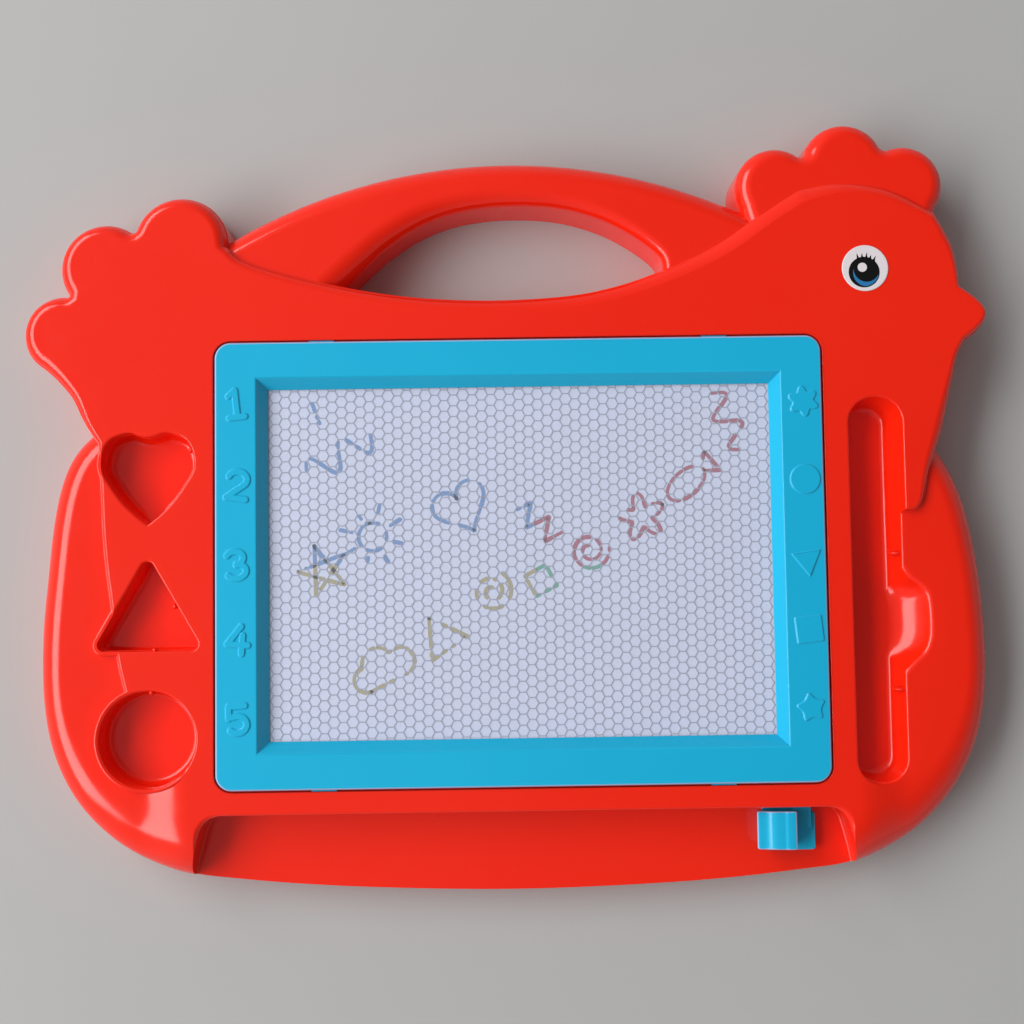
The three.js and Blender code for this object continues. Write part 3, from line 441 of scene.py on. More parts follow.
# ---- Outlines of the body ----
def hen_outline(with_beak=True, step=1.2):
    head = [
        stretch(spline(BREAST, step), HEN_EDGE, BEAK_EDGE),
        stretch(spline(BEAK, step / 2), BEAK_EDGE),
        stretch(spline(FACE, step), BEAK_EDGE, HEN_EDGE),
    ]
    if not with_beak:
        head = [stretch(np.array([BREAST[0], BEAK[0], FACE[0], CROWN[0]]) * REACH, HEN_EDGE)]
    upper = [
        stretch(spline(NECK, step), STEP_EDGE, HEN_EDGE),
        *head,
        stretch(spline(CROWN, step), HEN_EDGE, CROWN_EDGE),
        stretch(spline(BACK, step), CROWN_EDGE, BACK_EDGE),
        notched([stretch(arc_through(plume, step), HEN_EDGE) for plume in PLUMES]),
        stretch(spline(RUMP, step), HEN_EDGE, STEP_EDGE),
    ]
    left = [spline(part, step) for part in (FLANK, HIDDEN_FLANK, LEFT_FRONT)]
    front = evenly(np.array([LEFT_FRONT[-1], RIGHT_FRONT[0]]) * REACH, 4 * step)
    right = [spline(part, step) for part in (RIGHT_FRONT, HIDDEN_TROUGH)]
    return settled(np.vstack(upper + [stretch(part, STEP_EDGE) for part in (*left, front, *right)]))


def ring_outline(step=1.5):
    """Egg-shaped base, whose edge grows broader towards the tray."""
    points = np.array(RING + RING[:3]) * REACH
    points = evenly(catmull(points)[FINE:-FINE], step)[:-1]
    front = -points[:, 1].min()
    share = eased(-points[:, 1] / front, 0.33, 1)[:, None]
    return np.hstack([points, RING_EDGE + (RING_FRONT_EDGE - RING_EDGE) * share])


def handle_outline():
    arc = stretch(arc_through(HANDLE_ARC), HANDLE_EDGE)
    return np.vstack([arc, stretch(spline(HANDLE_ROOT, 6), PLAIN_EDGE)])


def opening_outline():
    arch = stretch(spline(OPENING_ARCH), OPENING_RIGHT, OPENING_LEFT)
    return np.vstack([arch, stretch(spline(OPENING_ROOT, 4))])


def comb_outline(step=1.2):
    lobes = notched([stretch(arc_through(lobe, step), COMB_EDGE) for lobe in COMB_LOBES])
    root = spline(COMB_ROOT, step)
    hidden = max(2, len(root) // 6)
    ends = [stretch(root[: hidden + 1], COMB_EDGE), stretch(root[-hidden - 1 :], COMB_EDGE)]
    return settled(np.vstack([lobes, ends[0], stretch(root[hidden:-hidden], PLAIN_EDGE), ends[1]]))


RECESS_X = -0.751 * REACH[0]
HEART_Y, TRIANGLE_Y, CIRCLE_Y = np.array([0.196, -0.1175, -0.385]) * REACH[1]
TROUGH = np.array([0.7237, -0.0755]) * REACH
SCOOP_Y = -0.146 * REACH[1]
STAMP_NIBS = [[-99.6, 35.1], [-104.5, -12.2], [-110.6, -25.2], [-111.5, -37.9]]


def heart_outline():
    half = evenly(catmull(np.array([[side * 14.1, (up - 0.5) * 28] for side, up in HEART] + [[0, -14]])), 0.8)
    left = half[1:-1] * [-1, 1]
    return with_edge(np.vstack([half[:1], left, half[-1:], half[1:-1][::-1]]) + [RECESS_X, HEART_Y])


def triangle_outline(side=33.4, corner=2.0):
    inner = side / (2 * sqrt(3)) - corner
    points = []
    for tip in pi / 2 + np.arange(3) * 2 * pi / 3:
        points.append(2 * inner * around([tip]) + corner * around(tip + np.linspace(-1, 1, 9) * pi / 3))
    return with_edge(np.vstack(points) + [RECESS_X, TRIANGLE_Y])


def opening_levels(outline, shrink=0.0, steps=10):
    run, drop = (np.maximum(outline[:, k] - shrink, 0) for k in (2, 3))
    return [(-shrink - run * (1 - cos(a)), RING_TOP - shrink - drop * (1 - sin(a))) for a in quarter(steps)]


def tray_outline():
    """Front tray with curved ends, open at the front; the round of its rim grows towards the ends."""
    width, depth = 9.5, 18.6
    end = np.array([[TRAY_HALF + (x - 1) * width, TRAY_WALL_Y - y * depth] for x, y in TRAY_END])
    end = evenly(catmull(end), 0.7)
    rim = 0.9 + 1.5 * np.clip((end[:, :1] - end[0, 0]) / width, 0, 1)
    right = np.vstack([np.hstack([end, rim]), [[TRAY_HALF, -REACH[1] - 6, 2.4]]])[::-1]
    points = np.vstack([right, right[::-1] * [-1, 1, 1]])
    return np.hstack([points, np.zeros((len(points), 3))])


def tray_cut():
    outline = tray_outline()
    rim, cove = outline[:, 2], 0.8
    levels = [(cove * (1 - sin(a)), TRAY_FLOOR + cove * (1 - cos(a))) for a in quarter(10)]
    levels += [(-rim * (1 - cos(a)), HEN_TOP - rim * (1 - sin(a))) for a in quarter(10)]
    return loft(outline, [*levels, (-rim, HEN_TOP + 3)])


def scoop_cut():
    """Finger scoop: from its rim a hollow, ever flatter, that runs out at the foot of the trough's side."""
    middle = TROUGH * [1, 0] + [0, SCOOP_Y]
    rim = evenly(catmull(middle + np.array(SCOOP_RIM)), 0.8)
    foot = evenly(catmull(middle + np.array(SCOOP_FOOT)), 0.2)
    foot = foot[np.linspace(0, len(foot) - 1, len(rim)).round().astype(int)]
    inside = np.array([[TROUGH[0] + 1.4, SCOOP_Y + y] for y in np.linspace(9, -9, 12)])
    facing = outward(with_edge(np.vstack([rim, inside])))[: len(rim)]
    floor, turn, crest_angle = 12.48, 2.0, 0.7
    start = rim - turn * cos(crest_angle) * facing
    crest = RING_TOP - turn * (1 - sin(crest_angle))
    levels = [(foot + (start - foot) * t, floor + (crest - floor) * t**2) for t in np.linspace(0, 1, 17)]
    for angle in np.linspace(crest_angle, pi / 2, 7)[1:]:
        levels.append((rim - turn * cos(angle) * facing, RING_TOP - turn * (1 - sin(angle))))
    rings = []
    for xy, z in levels:
        rings.append(np.column_stack([np.vstack([xy, inside]) + CENTRE, np.full(len(rim) + len(inside), z)]))
    return stacked([*rings, rings[-1] + [0, 0, OVERRUN]])


def clip_places(out=0.0):
    return [(side * 0.65 * BEZEL[0] / 2, end * (BEZEL[1] / 2 + out)) for side in (-1, 1) for end in (-1, 1)]


def moulded_shell():
    """The whole red body: outer skins less the hollows behind them, with cups, ribs and recesses."""
    hen, ring, handle, comb = hen_outline(), ring_outline(), handle_outline(), comb_outline()
    opening = opening_outline()
    stamps = (heart_outline(), triangle_outline(), circle(ROUND_STAMP, (RECESS_X, CIRCLE_Y)))
    trough = rounded_rectangle([TROUGH_WIDTH, TROUGH_LENGTH], (TROUGH_WIDTH - 0.8) / 2, TROUGH, steps=24)

    collars = []
    for place, low in zip(stamps, (0.5, 0.5, -0.05)):
        top = HEN_TOP - low
        collars.append(loft(place, [(-COLLAR, 12), (-COLLAR, top - 0.5), (-1.15, top - 0.15), (-0.8, top)]))
    stamp_cuts = lambda rim=0.7: [recess(p, HEN_TOP, STAMP_DEPTH, cove=STAMP_COVE, rim=rim) for p in stamps]
    hen_skin = combined(
        moulded(hen, 0, HEN_TOP, foot_level=RING_TOP),
        ("UNION", *collars),
        ("DIFFERENCE", *stamp_cuts(), trough_cut(trough, HEN_TOP)),
    )
    ring_skin = combined(
        moulded(ring, 0, RING_TOP, inner=np.linspace(1.1, 2.5, 15) * RING_FRONT_EDGE[0], lift=front_lift),
        ("DIFFERENCE", *stamp_cuts(0), trough_cut(trough, RING_TOP)),
    )
    opening_cut = loft(opening, [(0, -1), *opening_levels(opening), (-opening[:, 2], HEN_TOP + 1)])
    handle_skin = combined(moulded(handle, 0, RING_TOP), ("DIFFERENCE", opening_cut))
    skins = combined(
        hen_skin,
        ("UNION", ring_skin, handle_skin, moulded(comb, 0, COMB_TOP)),
        ("DIFFERENCE", tray_cut(), scoop_cut()),
    )

    coarse = 3.0
    inner_hen = hen_outline(False, coarse)
    behind = lambda outline, top: moulded(outline, -1, top, 4, shrink=WALL)
    hollow = joined(
        behind(inner_hen, HEN_TOP),
        behind(ring_outline(coarse), RING_TOP),
        behind(handle, RING_TOP),
        behind(comb_outline(coarse), COMB_TOP),
    )
    opening_cup = loft(opening, [(-WALL, 0), *opening_levels(opening, WALL, 4)])
    ribs = [block([RIB, WELL[1] + WALL], 0, WELL_FLOOR - 1, (i / 7 - 0.5) * WELL[0]) for i in range(1, 7)]
    ribs += [block([WELL[0] + WALL, RIB], 0, WELL_FLOOR - 1, 0, (i / 3 - 0.5) * WELL[1]) for i in (1, 2)]
    screen_cup = rounded_rectangle(BEZEL + 2 * (BEZEL_GAP + WALL), BEZEL_CORNER + BEZEL_GAP + WALL)
    cups = joined(
        *[cup(place, STAMP_DEPTH, 0.5) for place in stamps],
        cup(trough, TROUGH_DEPTH, 3.4),
        loft(circle(16.5, (TROUGH[0] + 2, SCOOP_Y), 32), [(6, 12.6 - WALL), (0, 15.5), (0, RING_TOP - 1)]),
        loft(tray_outline(), [(-WALL, TRAY_FLOOR - WALL), (-WALL, HEN_TOP + 1)]),
        combined(opening_cup, ("DIFFERENCE", behind(inner_hen, HEN_TOP))),
        prism(screen_cup, LEDGE - WALL, HEN_TOP - WALL / 2),
        block(WELL + 2 * WALL, WELL_FLOOR - WALL, LEDGE),
        *ribs,
    )
    inner = combined(cups, ("INTERSECT", skins.copy()))
    pocket = rounded_rectangle(BEZEL + 2 * BEZEL_GAP, BEZEL_CORNER + BEZEL_GAP)
    gap_low, clip_hole = GAP_FLOOR + 0.2, CLIP_WIDTH + CLIP_PLAY
    cuts = joined(
        recess(pocket, HEN_TOP, HEN_TOP - GAP_FLOOR, 0, 0.2, 0.35, 4),
        prism(rounded_rectangle(BEZEL + 0.5, BEZEL_CORNER + 0.25), LEDGE, gap_low),
        *[block([clip_hole, 2 * BEZEL_GAP], LEDGE, gap_low, *place) for place in clip_places()],
        block(WELL, WELL_FLOOR, LEDGE + 1),
        block(NECK_SLOT, NECK_LOW, NECK_HIGH, 0, (TRAY_WALL_Y - WELL[1] / 2) / 2),
        *[block([clip_hole, 6.4], 17.3, 19.5, *place) for place in clip_places(BEZEL_GAP)],
    )
    nibs = [
        ellipsoid([2.3, 0.9, 2.3], [TROUGH[0] + x, y * REACH[1], RING_TOP - 2.6], 24, 12)
        for x in (-9.3, 6.1)
        for y in (0.006, -0.3)
    ]
    nibs += [ellipsoid([0.9, 0.9, 1.2], [x, y, HEN_TOP - 1.6], 20, 10) for x, y in STAMP_NIBS]
    return combined(skins, ("DIFFERENCE", hollow), ("UNION", inner), ("DIFFERENCE", cuts), ("UNION", *nibs))


def coat(made, material):
    made.data.materials.clear()
    made.data.materials.append(material)
    return made


def piece(name, mesh, material, slot, body, *nodes, sharp=None):
    """A finished mesh as a named object on its body, in place of the CAD nodes it stands for."""
    mesh.name = name
    made = coat(placed(name, mesh), material)
    if sharp:
        mesh.shade_smooth()
        mesh.set_sharp_from_angle(angle=radians(sharp))
        weighted = made.modifiers.new("even shading of flats", "WEIGHTED_NORMAL")
        weighted.mode = "FACE_AREA_WITH_ANGLE"
        weighted.keep_sharp = True
    if nodes:
        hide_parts(*nodes)
    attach(made, body)
    return made


# ---- Bezel: the blue frame with its bevelled window, snap clips and raised figures ----
def bezel_block():
    outer = rounded_rectangle(BEZEL, BEZEL_CORNER, form=edge(0.6, 0.6), steps=12)
    window = with_edge(CORNERS * WINDOW / 2)
    lean = atan2(BEZEL_TOP - FILM_TOP - 0.05, BEVEL_RUN)
    back = 0.4
    low = np.array([-(BEVEL_RUN - back * cos(lean)), BEZEL_TOP - back * sin(lean)])
    corner = np.array([-BEVEL_RUN, BEZEL_TOP])
    high = np.array([-(BEVEL_RUN + back), BEZEL_TOP])
    lip = [curve(low, corner, high, t) for t in np.linspace(0, 1, 7)]
    window_cut = loft(window, [(0, 15), (0, FILM_TOP + 0.05), *lip, (high[0], BEZEL_TOP + 1)])
    channel = prism(rounded_rectangle(BEZEL - 2 * BEZEL_WALL, BEZEL_CORNER - BEZEL_WALL), 15, FILM_TOP + 0.05)
    clips = [block([CLIP_WIDTH, 1.0], BEZEL_FOOT, 21.9, *place) for place in clip_places()]
    clips += [block([CLIP_WIDTH, 3.1], 17.6, 19.2, *place) for place in clip_places()]
    body = moulded(outer, BEZEL_FOOT, BEZEL_TOP, 8, draft=0)
    return combined(body, ("UNION", *clips), ("DIFFERENCE", window_cut, channel))


def star(points, outer, inner, steps=1):
    """Star or flower outline: straight between its tips with one step, softly waved with more."""
    k = np.arange(points * 2 * steps)
    radius = (outer + inner) / 2 + (outer - inner) / 2 * np.cos(pi * (k / steps % 2))
    return radius[:, None] * around(pi / 2 + k * pi / (points * steps))


def turned(points, degrees, centre=(0, 0)):
    a = radians(degrees)
    return points @ np.array([[cos(a), sin(a)], [-sin(a), cos(a)]]) + centre


def polygon(radius, corners, first=90):
    return radius * around(np.radians(first) + np.arange(corners) * 2 * pi / corners)


def softened(points, radius=0.5, steps=4):
    """Each corner of a polygon rounded off."""
    before, after = np.roll(points, 1, axis=0), np.roll(points, -1, axis=0)
    out = []
    for a, p, b in zip(before, points, after):
        reach = [min(radius / np.linalg.norm(q - p), 0.45) for q in (a, b)]
        start, end = p + (a - p) * reach[0], p + (b - p) * reach[1]
        out += [curve(start, p, end, t) for t in np.linspace(0, 1, steps)]
    return np.array(out)


RELIEF = 0.4


def raised(points, centre):
    """A low figure moulded on the bezel, its edge rounded over."""
    points = points + np.array(centre)
    area = np.sum(points[:, 0] * np.roll(points[:, 1], -1) - points[:, 1] * np.roll(points[:, 0], -1))
    outline = with_edge(points if area > 0 else points[::-1])
    levels = [(-0.25, BEZEL_TOP - 0.3), (-0.25, BEZEL_TOP), (-0.1, BEZEL_TOP + 0.08), (0, BEZEL_TOP + 0.2)]
    levels += [(0.08, BEZEL_TOP + 0.32), (0.25, BEZEL_TOP + RELIEF)]
    return loft(outline, levels)


def stroke(points, width, ends=6):
    """Outline of a line of that width with round ends."""
    points = np.asarray(points, float)
    along = np.gradient(points, axis=0)
    along /= np.linalg.norm(along, axis=1)[:, None]
    side = np.column_stack([-along[:, 1], along[:, 0]]) * width / 2
    fan = lambda centre, first: [centre + turned(first[None], -180 * k / ends)[0] for k in range(1, ends)]
    first, last = fan(points[0], -side[0]), fan(points[-1], side[-1])
    return np.vstack([points + side, last, (points - side)[::-1], first])


def arc(x, y, across, up, start, end):
    return [x, y] + around(np.radians(np.linspace(start, end, 14))) * [across, up]


def numeral(digit):
    """The strokes of a plain numeral, 1 wide and about 1.6 high, about its middle."""
    lines = lambda *points: [evenly(np.array(ends, float), 0.12) for ends in zip(points, points[1:])]
    return {
        1: [*lines((-0.28, 0.5), (0.06, 0.8), (0.06, -0.8)), *lines((-0.34, -0.8), (0.42, -0.8))],
        2: [arc(0, 0.34, 0.46, 0.46, 165, -38), *lines((0.36, 0.06), (-0.46, -0.8), (0.5, -0.8))],
        3: [arc(-0.02, 0.4, 0.42, 0.4, 150, -85), arc(-0.02, -0.38, 0.48, 0.42, 85, -150)],
        4: [*lines((0.12, 0.8), (-0.5, -0.28), (0.5, -0.28)), *lines((0.22, 0.3), (0.22, -0.8))],
        5: [*lines((0.42, 0.8), (-0.36, 0.8), (-0.4, 0.1)), arc(0, -0.28, 0.46, 0.5, 118, -140)],
    }[digit]


NUMERALS = [
    (1, -85.9, 48.7, 6), (2, -85.3, 24.1, -8), (3, -85.7, 0.0, 7), (4, -85.2, -22.5, -4),
    (5, -85.5, -46.3, 4),
]
NUMERAL_SIZE, NUMERAL_STROKE = [6.2, 5.1], 1.9


def bezel_figures():
    """Numerals down the left bar and plain shapes down the right one."""
    figures = []
    for digit, x, y, lean in NUMERALS:
        strokes = [stroke(line * NUMERAL_SIZE, NUMERAL_STROKE) for line in numeral(digit)]
        figures.append(joined(*[raised(turned(outline, lean), (x, y)) for outline in strokes]))
    shapes = [
        (star(6, 4.7, 3.1, 8), 47.2, 8),
        (polygon(4.5, 40), 23.5, 0),
        (softened(polygon(5.1, 3, -90)), -1.0, 8),
        (softened(polygon(5.6, 4, 45)), -21.8, 6),
        (softened(star(5, 4.9, 2.6), 1.5, 6), -45.2, 10),
    ]
    for points, y, lean in shapes:
        figures.append(raised(turned(points, lean), (86.4, y)))
    return figures


# ---- Eraser knob: a ribbed grip on a plate, over the end of the carrier's neck ----
KNOB_DEPTH, KNOB_TO_WALL = 11.4, 1.4
KNOB_X = (BEZEL[0] - 2 * 12.35) / 2
KNOB_Y = TRAY_WALL_Y - KNOB_TO_WALL - KNOB_DEPTH / 2
KNOB_LOW = TRAY_FLOOR + 0.5
KNOB_ROUND = 0.45
GRIP = [
    [0.1, 0.1], [0.06, 0.35], [-0.04, 0.58], [-0.11, 0.72], [-0.125, 0.77], [-0.11, 0.815], [-0.05, 0.83],
    [0.05, 0.84], [0.13, 0.855], [0.2, 0.885], [0.27, 0.92], [0.36, 0.945], [0.5, 0.957], [0.57, 0.96],
    [0.61, 0.963], [0.64, 0.975], [0.665, 0.985], [0.72, 0.99], [0.85, 0.99], [0.9, 0.975], [0.915, 0.93],
    [0.915, 0.6], [0.9, 0.1],
]


def knob():
    width, height, depth, form = 11.2, 10.6, KNOB_DEPTH, edge(KNOB_ROUND, KNOB_ROUND)
    side = evenly(catmull(np.array(GRIP) * [width, height]), 0.25)[::-1]
    rounds = [(KNOB_ROUND * (1 - sin(a)), KNOB_ROUND * (1 - cos(a))) for a in quarter(5)]
    levels = [(inset, -depth / 2 + back) for inset, back in rounds]
    levels += [(inset, depth / 2 - back) for inset, back in rounds[::-1]]
    grip = loft(settled(with_edge(side, form)), levels, (0, 0))
    left = KNOB_X - 16.6 / 2
    x, y = CENTRE + [left, KNOB_Y]
    grip.transform(Matrix(((1, 0, 0, x * MM), (0, 0, -1, y * MM), (0, 1, 0, KNOB_LOW * MM), (0, 0, 0, 1))))
    corners = rounded_rectangle([width + 1.4, depth], 0.7, (left + width / 2 - 0.7, KNOB_Y))
    grip = combined(grip, ("INTERSECT", prism(corners, KNOB_LOW, KNOB_LOW + height + 1)))
    plate = rounded_rectangle([15.6, depth + 0.2], 1.0, (KNOB_X + 1.1, KNOB_Y - 1.1), form)
    plate = moulded(plate, KNOB_LOW, KNOB_LOW + 3.2, 5, draft=0)
    socket = block([14.7, depth + KNOB_TO_WALL], 12.65, 15.15, KNOB_X, KNOB_Y + depth / 2 + 0.7 - 0.05)
    return combined(plate, ("UNION", grip), ("DIFFERENCE", socket))


# ---- Screen: cell walls over the fluid, with powder drawn up where a pen went ----
CELL = 3.3
CELL_RADIUS = CELL / sqrt(3)
CELL_WALL = 0.3
COLUMN_STEP = 1.5 * CELL_RADIUS
COLUMNS, ROWS = 55, 33
FLUID_TOP = 19.16
CORE_TOP = 19.3
CORE = BEZEL - 2 * (BEZEL_WALL + 0.3 + 2)


def cell_centre(column, row):
    up = row - (ROWS - 1) / 2 + column % 2 / 2
    return np.array([(column - (COLUMNS - 1) / 2) * COLUMN_STEP, up * CELL])


def cell_walls():
    """The hexagonal net as one closed solid."""
    corners, vertices, faces, sides = {}, [], [], {}
    both = lambda p: [[*p, CORE_TOP], [*p, CORE_TOP - 0.3]]

    def corner(point):
        key = tuple(np.round(point, 2))
        if key not in corners:
            corners[key] = len(vertices)
            vertices.extend(both(point))
        return corners[key]

    outer, inner = polygon(CELL_RADIUS, 6, 0), polygon(CELL_RADIUS - CELL_WALL / sqrt(3), 6, 0)
    for column in range(COLUMNS):
        for row in range(ROWS):
            middle = cell_centre(column, row) + CENTRE
            ring = [corner(middle + p) for p in outer]
            first = len(vertices)
            for p in inner:
                vertices.extend(both(middle + p))
            for k in range(6):
                a, b, c, d = ring[k], ring[(k + 1) % 6], first + 2 * ((k + 1) % 6), first + 2 * k
                faces += [[a, b, c, d], [d + 1, c + 1, b + 1, a + 1], [d, c, c + 1, d + 1]]
                sides[a, b] = True
    faces += [[b, a, a + 1, b + 1] for a, b in sides if (b, a) not in sides]
    return solid(vertices, faces)


def cell_of(point):
    """Column and row of the cell that holds a point, and the point's clearance from that cell's walls."""
    column = round(point[0] / COLUMN_STEP + (COLUMNS - 1) / 2)
    found = []
    for near in (column - 1, column, column + 1):
        row = round(point[1] / CELL + (ROWS - 1) / 2 - near % 2 / 2)
        away = point - cell_centre(near, row)
        across, up = away[0] * sqrt(3) / 2, away[1] / 2
        clearance = CELL / 2 - max(abs(away[1]), abs(across + up), abs(across - up))
        found.append((near, row, clearance))
    return max(found, key=lambda cell: cell[2])


def drawn_shapes():
    """Plain drawn shapes, each a list of lines and about 2 across."""
    t = np.linspace(0, 1, 60)[:, None]
    turn = 2 * pi * t
    heart = 13 * np.cos(turn) - 5 * np.cos(2 * turn) - 2 * np.cos(3 * turn) - np.cos(4 * turn)
    return {
        "dash": [np.array([[-1, 0], [1, 0]])],
        "spiral": [around(2 * turn) * (0.15 + 0.85 * t)],
        "sun": [polygon(0.5, 30)[np.r_[0:30, 0]], *[ray * [[0.75], [1.15]] for ray in polygon(1, 8, 20)]],
        "wave": [np.hstack([2.4 * t - 1.2, 0.45 * np.sin(2 * turn)])],
        "zigzag": [np.array([[-1.2, -0.5], [-0.7, 0.5], [-0.2, -0.5], [0.3, 0.5], [0.8, -0.5], [1.2, 0.4]])],
        "heart": [np.hstack([np.sin(turn) ** 3, heart / 16])],
        "flower": [around(turn) * (0.72 + 0.28 * np.cos(5 * turn))],
        "star": [polygon(1.05, 5)[[0, 2, 4, 1, 3, 0]]],
        "triangle": [polygon(1, 3)[[0, 1, 2, 0]]],
        "square": [polygon(1.1, 4, 45)[[0, 1, 2, 3, 0]]],
        "fish": [
            around(turn) * [0.9, 0.5] - [0.2, 0],
            np.array([[0.65, 0.05], [1.2, 0.5], [1.2, -0.5], [0.65, -0.05]]),
        ],
        "cloud": [
            np.vstack([arc(-0.65, -0.1, 0.4, 0.4, 270, 90), arc(-0.1, 0.25, 0.5, 0.5, 150, 20),
                       arc(0.6, 0, 0.45, 0.45, 70, -90), [[-0.65, -0.5]]]),
        ],
    }


DOODLES = [
    ("dash", -62, 46, 3.2, -70), ("wave", -55, 33, 9.5, 32), ("sun", -45, 8, 8.6, 12),
    ("heart", -18, 17, 8.4, 28), ("star", -60, -2, 7.6, 20), ("zigzag", 5, 12, 7.0, -38),
    ("spiral", 21, 3, 6.2, 20), ("flower", 37, 13, 7.4, 30), ("fish", 52, 24, 7.6, 40),
    ("wave", 64, 42, 8.2, -62), ("cloud", -42, -32, 9.4, 24), ("triangle", -24, -23, 7.4, 34),
    ("spiral", -9, -9, 6.4, 60), ("square", 6, -6, 4.6, 28),
]


def powder_marks():
    """Short strokes of drawn-up powder, one per cell and stroke, clear of the walls, by colour zone."""
    chance = np.random.default_rng(7)
    marks = {zone: [] for zone in powders}
    shapes = drawn_shapes()
    for kind, x, y, size, lean in DOODLES:
        for line in shapes[kind]:
            line = turned(evenly(line * size, 0.15), lean, (x, y))
            runs, last = [], None
            for point in line:
                column, row, clearance = cell_of(point)
                if clearance < 0.32:
                    last = None
                    continue
                if (column, row) != last:
                    runs.append([])
                    last = (column, row)
                runs[-1].append(point)
            for run in runs:
                if len(run) < 4:
                    continue
                middle = np.mean(run, axis=0)
                zone = ("blue", "plum") if middle[1] > -1.5 else ("olive", "green")
                outline = stroke(np.array(run), chance.uniform(1.0, 1.4), 5)
                wobble = 1 + chance.uniform(-0.07, 0.07, (len(outline), 1))
                outline = with_edge((middle + (outline - middle) * wobble)[::-1])
                marks[zone[int(middle[0] > 4)]].append(prism(outline, FLUID_TOP - 0.02, FLUID_TOP + 0.05))
    return marks


def merged(solids):
    """Solids that don't touch as one mesh."""
    work = bmesh.new()
    for one in solids:
        work.from_mesh(one)
        bpy.data.meshes.remove(one)
    mesh = bpy.data.meshes.new("merged")
    work.to_mesh(mesh)
    work.free()
    return mesh


# ---- Eye: a domed white sticker with its printed layers ----
EYE = np.array([0.711, 0.652]) * REACH
PUPIL = EYE + [-0.35, -1.27]
EYE_TOP = HEN_TOP + 0.27


def clipped_disc(radius, centre, hold, within, low, high):
    """A thin disc pulled in to stay inside a larger one."""
    points = circle(radius, centre, 64)[:, :2] - hold
    away = np.linalg.norm(points, axis=1)[:, None]
    return prism(with_edge(hold + points * np.minimum(1, within / away)), low, high)


def eye_pieces():
    dome = [(0, HEN_TOP + 0.04), (0, HEN_TOP + 0.14), (0.08, HEN_TOP + 0.22), (0.3, EYE_TOP)]
    white = loft(circle(7.1, EYE, 96), dome)
    layer = lambda k: (EYE_TOP - 0.01, EYE_TOP + 0.012 * k)
    black = [prism(circle(4.75, PUPIL, 80), *layer(1))]
    for tip in np.array([(-2.1, 6.05), (-0.5, 6.0), (1.05, 6.15), (2.3, 5.45), (3.75, 5.0)]):
        root = tip / np.linalg.norm(tip) * 4.3 + [0.12 * tip[0], 0]
        side = np.array([-(tip - root)[1], (tip - root)[0]]) / np.linalg.norm(tip - root) * 0.42
        bend = (tip + root) / 2 + side * 0.25
        lash = np.array([root - side, bend - side * 0.5, tip, bend + side * 0.5, root + side])
        black.append(prism(with_edge(lash + PUPIL), *layer(1)))
    blue = clipped_disc(4.15, PUPIL + [0.75, -0.25], PUPIL, 4.42, *layer(2))
    inner = clipped_disc(3.95, PUPIL + [0.75, 0.95], PUPIL, 4.5, *layer(3))
    glint = prism(circle(1.42, EYE + [-0.9, 0.23], 48), *layer(4))
    return white, merged(black), blue, inner, glint


# ---- Finishes ----
def linear(code):
    """sRGB hex to linear red, green, blue, alpha."""
    values = [int(code[k : k + 2], 16) / 255 for k in (1, 3, 5)]
    return (*[v / 12.92 if v <= 0.04045 else ((v + 0.055) / 1.055) ** 2.4 for v in values], 1)


def feed(node, inputs):
    """Sets a node's inputs, as values or as links from an output or from a node's first output."""
    for name, value in inputs.items():
        if isinstance(value, bpy.types.Node):
            value = value.outputs[0]
        if isinstance(value, bpy.types.NodeSocket):
            node.id_data.links.new(value, node.inputs[name])
        else:
            node.inputs[name].default_value = value
    return node


def add(tree, kind, inputs, **settings):
    """Adds a shader node with its settings and its inputs."""
    made = tree.nodes.new("ShaderNode" + kind)
    for name, value in settings.items():
        setattr(made, name, value)
    return feed(made, inputs)


def per_mm(size):
    """Scale of a pattern whose features are that many millimetres across, on coordinates in metres."""
    return 1 / (size * MM)


def finish(name):
    """A new material with its own place on the object as coordinates."""
    material = bpy.data.materials.new(name)
    material.use_nodes = True
    tree = material.node_tree
    return material, tree, tree.nodes["Principled BSDF"], add(tree, "TexCoord", {}).outputs["Object"]


def gloss_moulding(name, light, deep, roughness, scatter):
    """Glossy injection-moulded plastic: colour drifts a little along the flow, the polish is even with faint
    haze and a very slight waviness left by the mould, and a few fine handling scratches dull it."""
    material, tree, shader, place = finish(name)
    flow = add(tree, "TexNoise", {"Vector": place, "Scale": per_mm(70), "Detail": 2.0})
    tint = add(tree, "Mix", {"Factor": flow, 6: linear(light), 7: linear(deep)}, data_type="RGBA")
    haze = add(tree, "TexNoise", {"Vector": place, "Scale": per_mm(9), "Detail": 4.0})
    polish = {"From Min": 0.3, "From Max": 0.7, "To Min": roughness - 0.03, "To Max": roughness + 0.05}
    dull = add(tree, "MapRange", {"Value": haze, **polish})
    stretched = add(tree, "Mapping", {"Vector": place, "Rotation": (0, 0, 0.6), "Scale": (1, 0.06, 1)})
    scratch = add(tree, "TexNoise", {"Vector": stretched, "Scale": per_mm(0.9), "Detail": 3.0})
    line = add(tree, "MapRange", {"Value": scratch, "From Min": 0.68, "From Max": 0.76, "To Max": 0.1})
    rough = add(tree, "Math", {0: dull, 1: line}, operation="ADD")
    waves = add(tree, "TexNoise", {"Vector": place, "Scale": per_mm(22), "Detail": 1.0})
    bump = add(tree, "Bump", {"Height": waves, "Strength": 0.25, "Distance": 0.3 * MM})
    feed(shader, {"Base Color": tint.outputs[2], "Roughness": rough, "Normal": bump, "IOR": 1.49})
    feed(shader, {"Subsurface Weight": scatter, "Subsurface Radius": (1.0, 0.12, 0.05)})
    feed(shader, {"Subsurface Scale": 3 * MM})
    return material


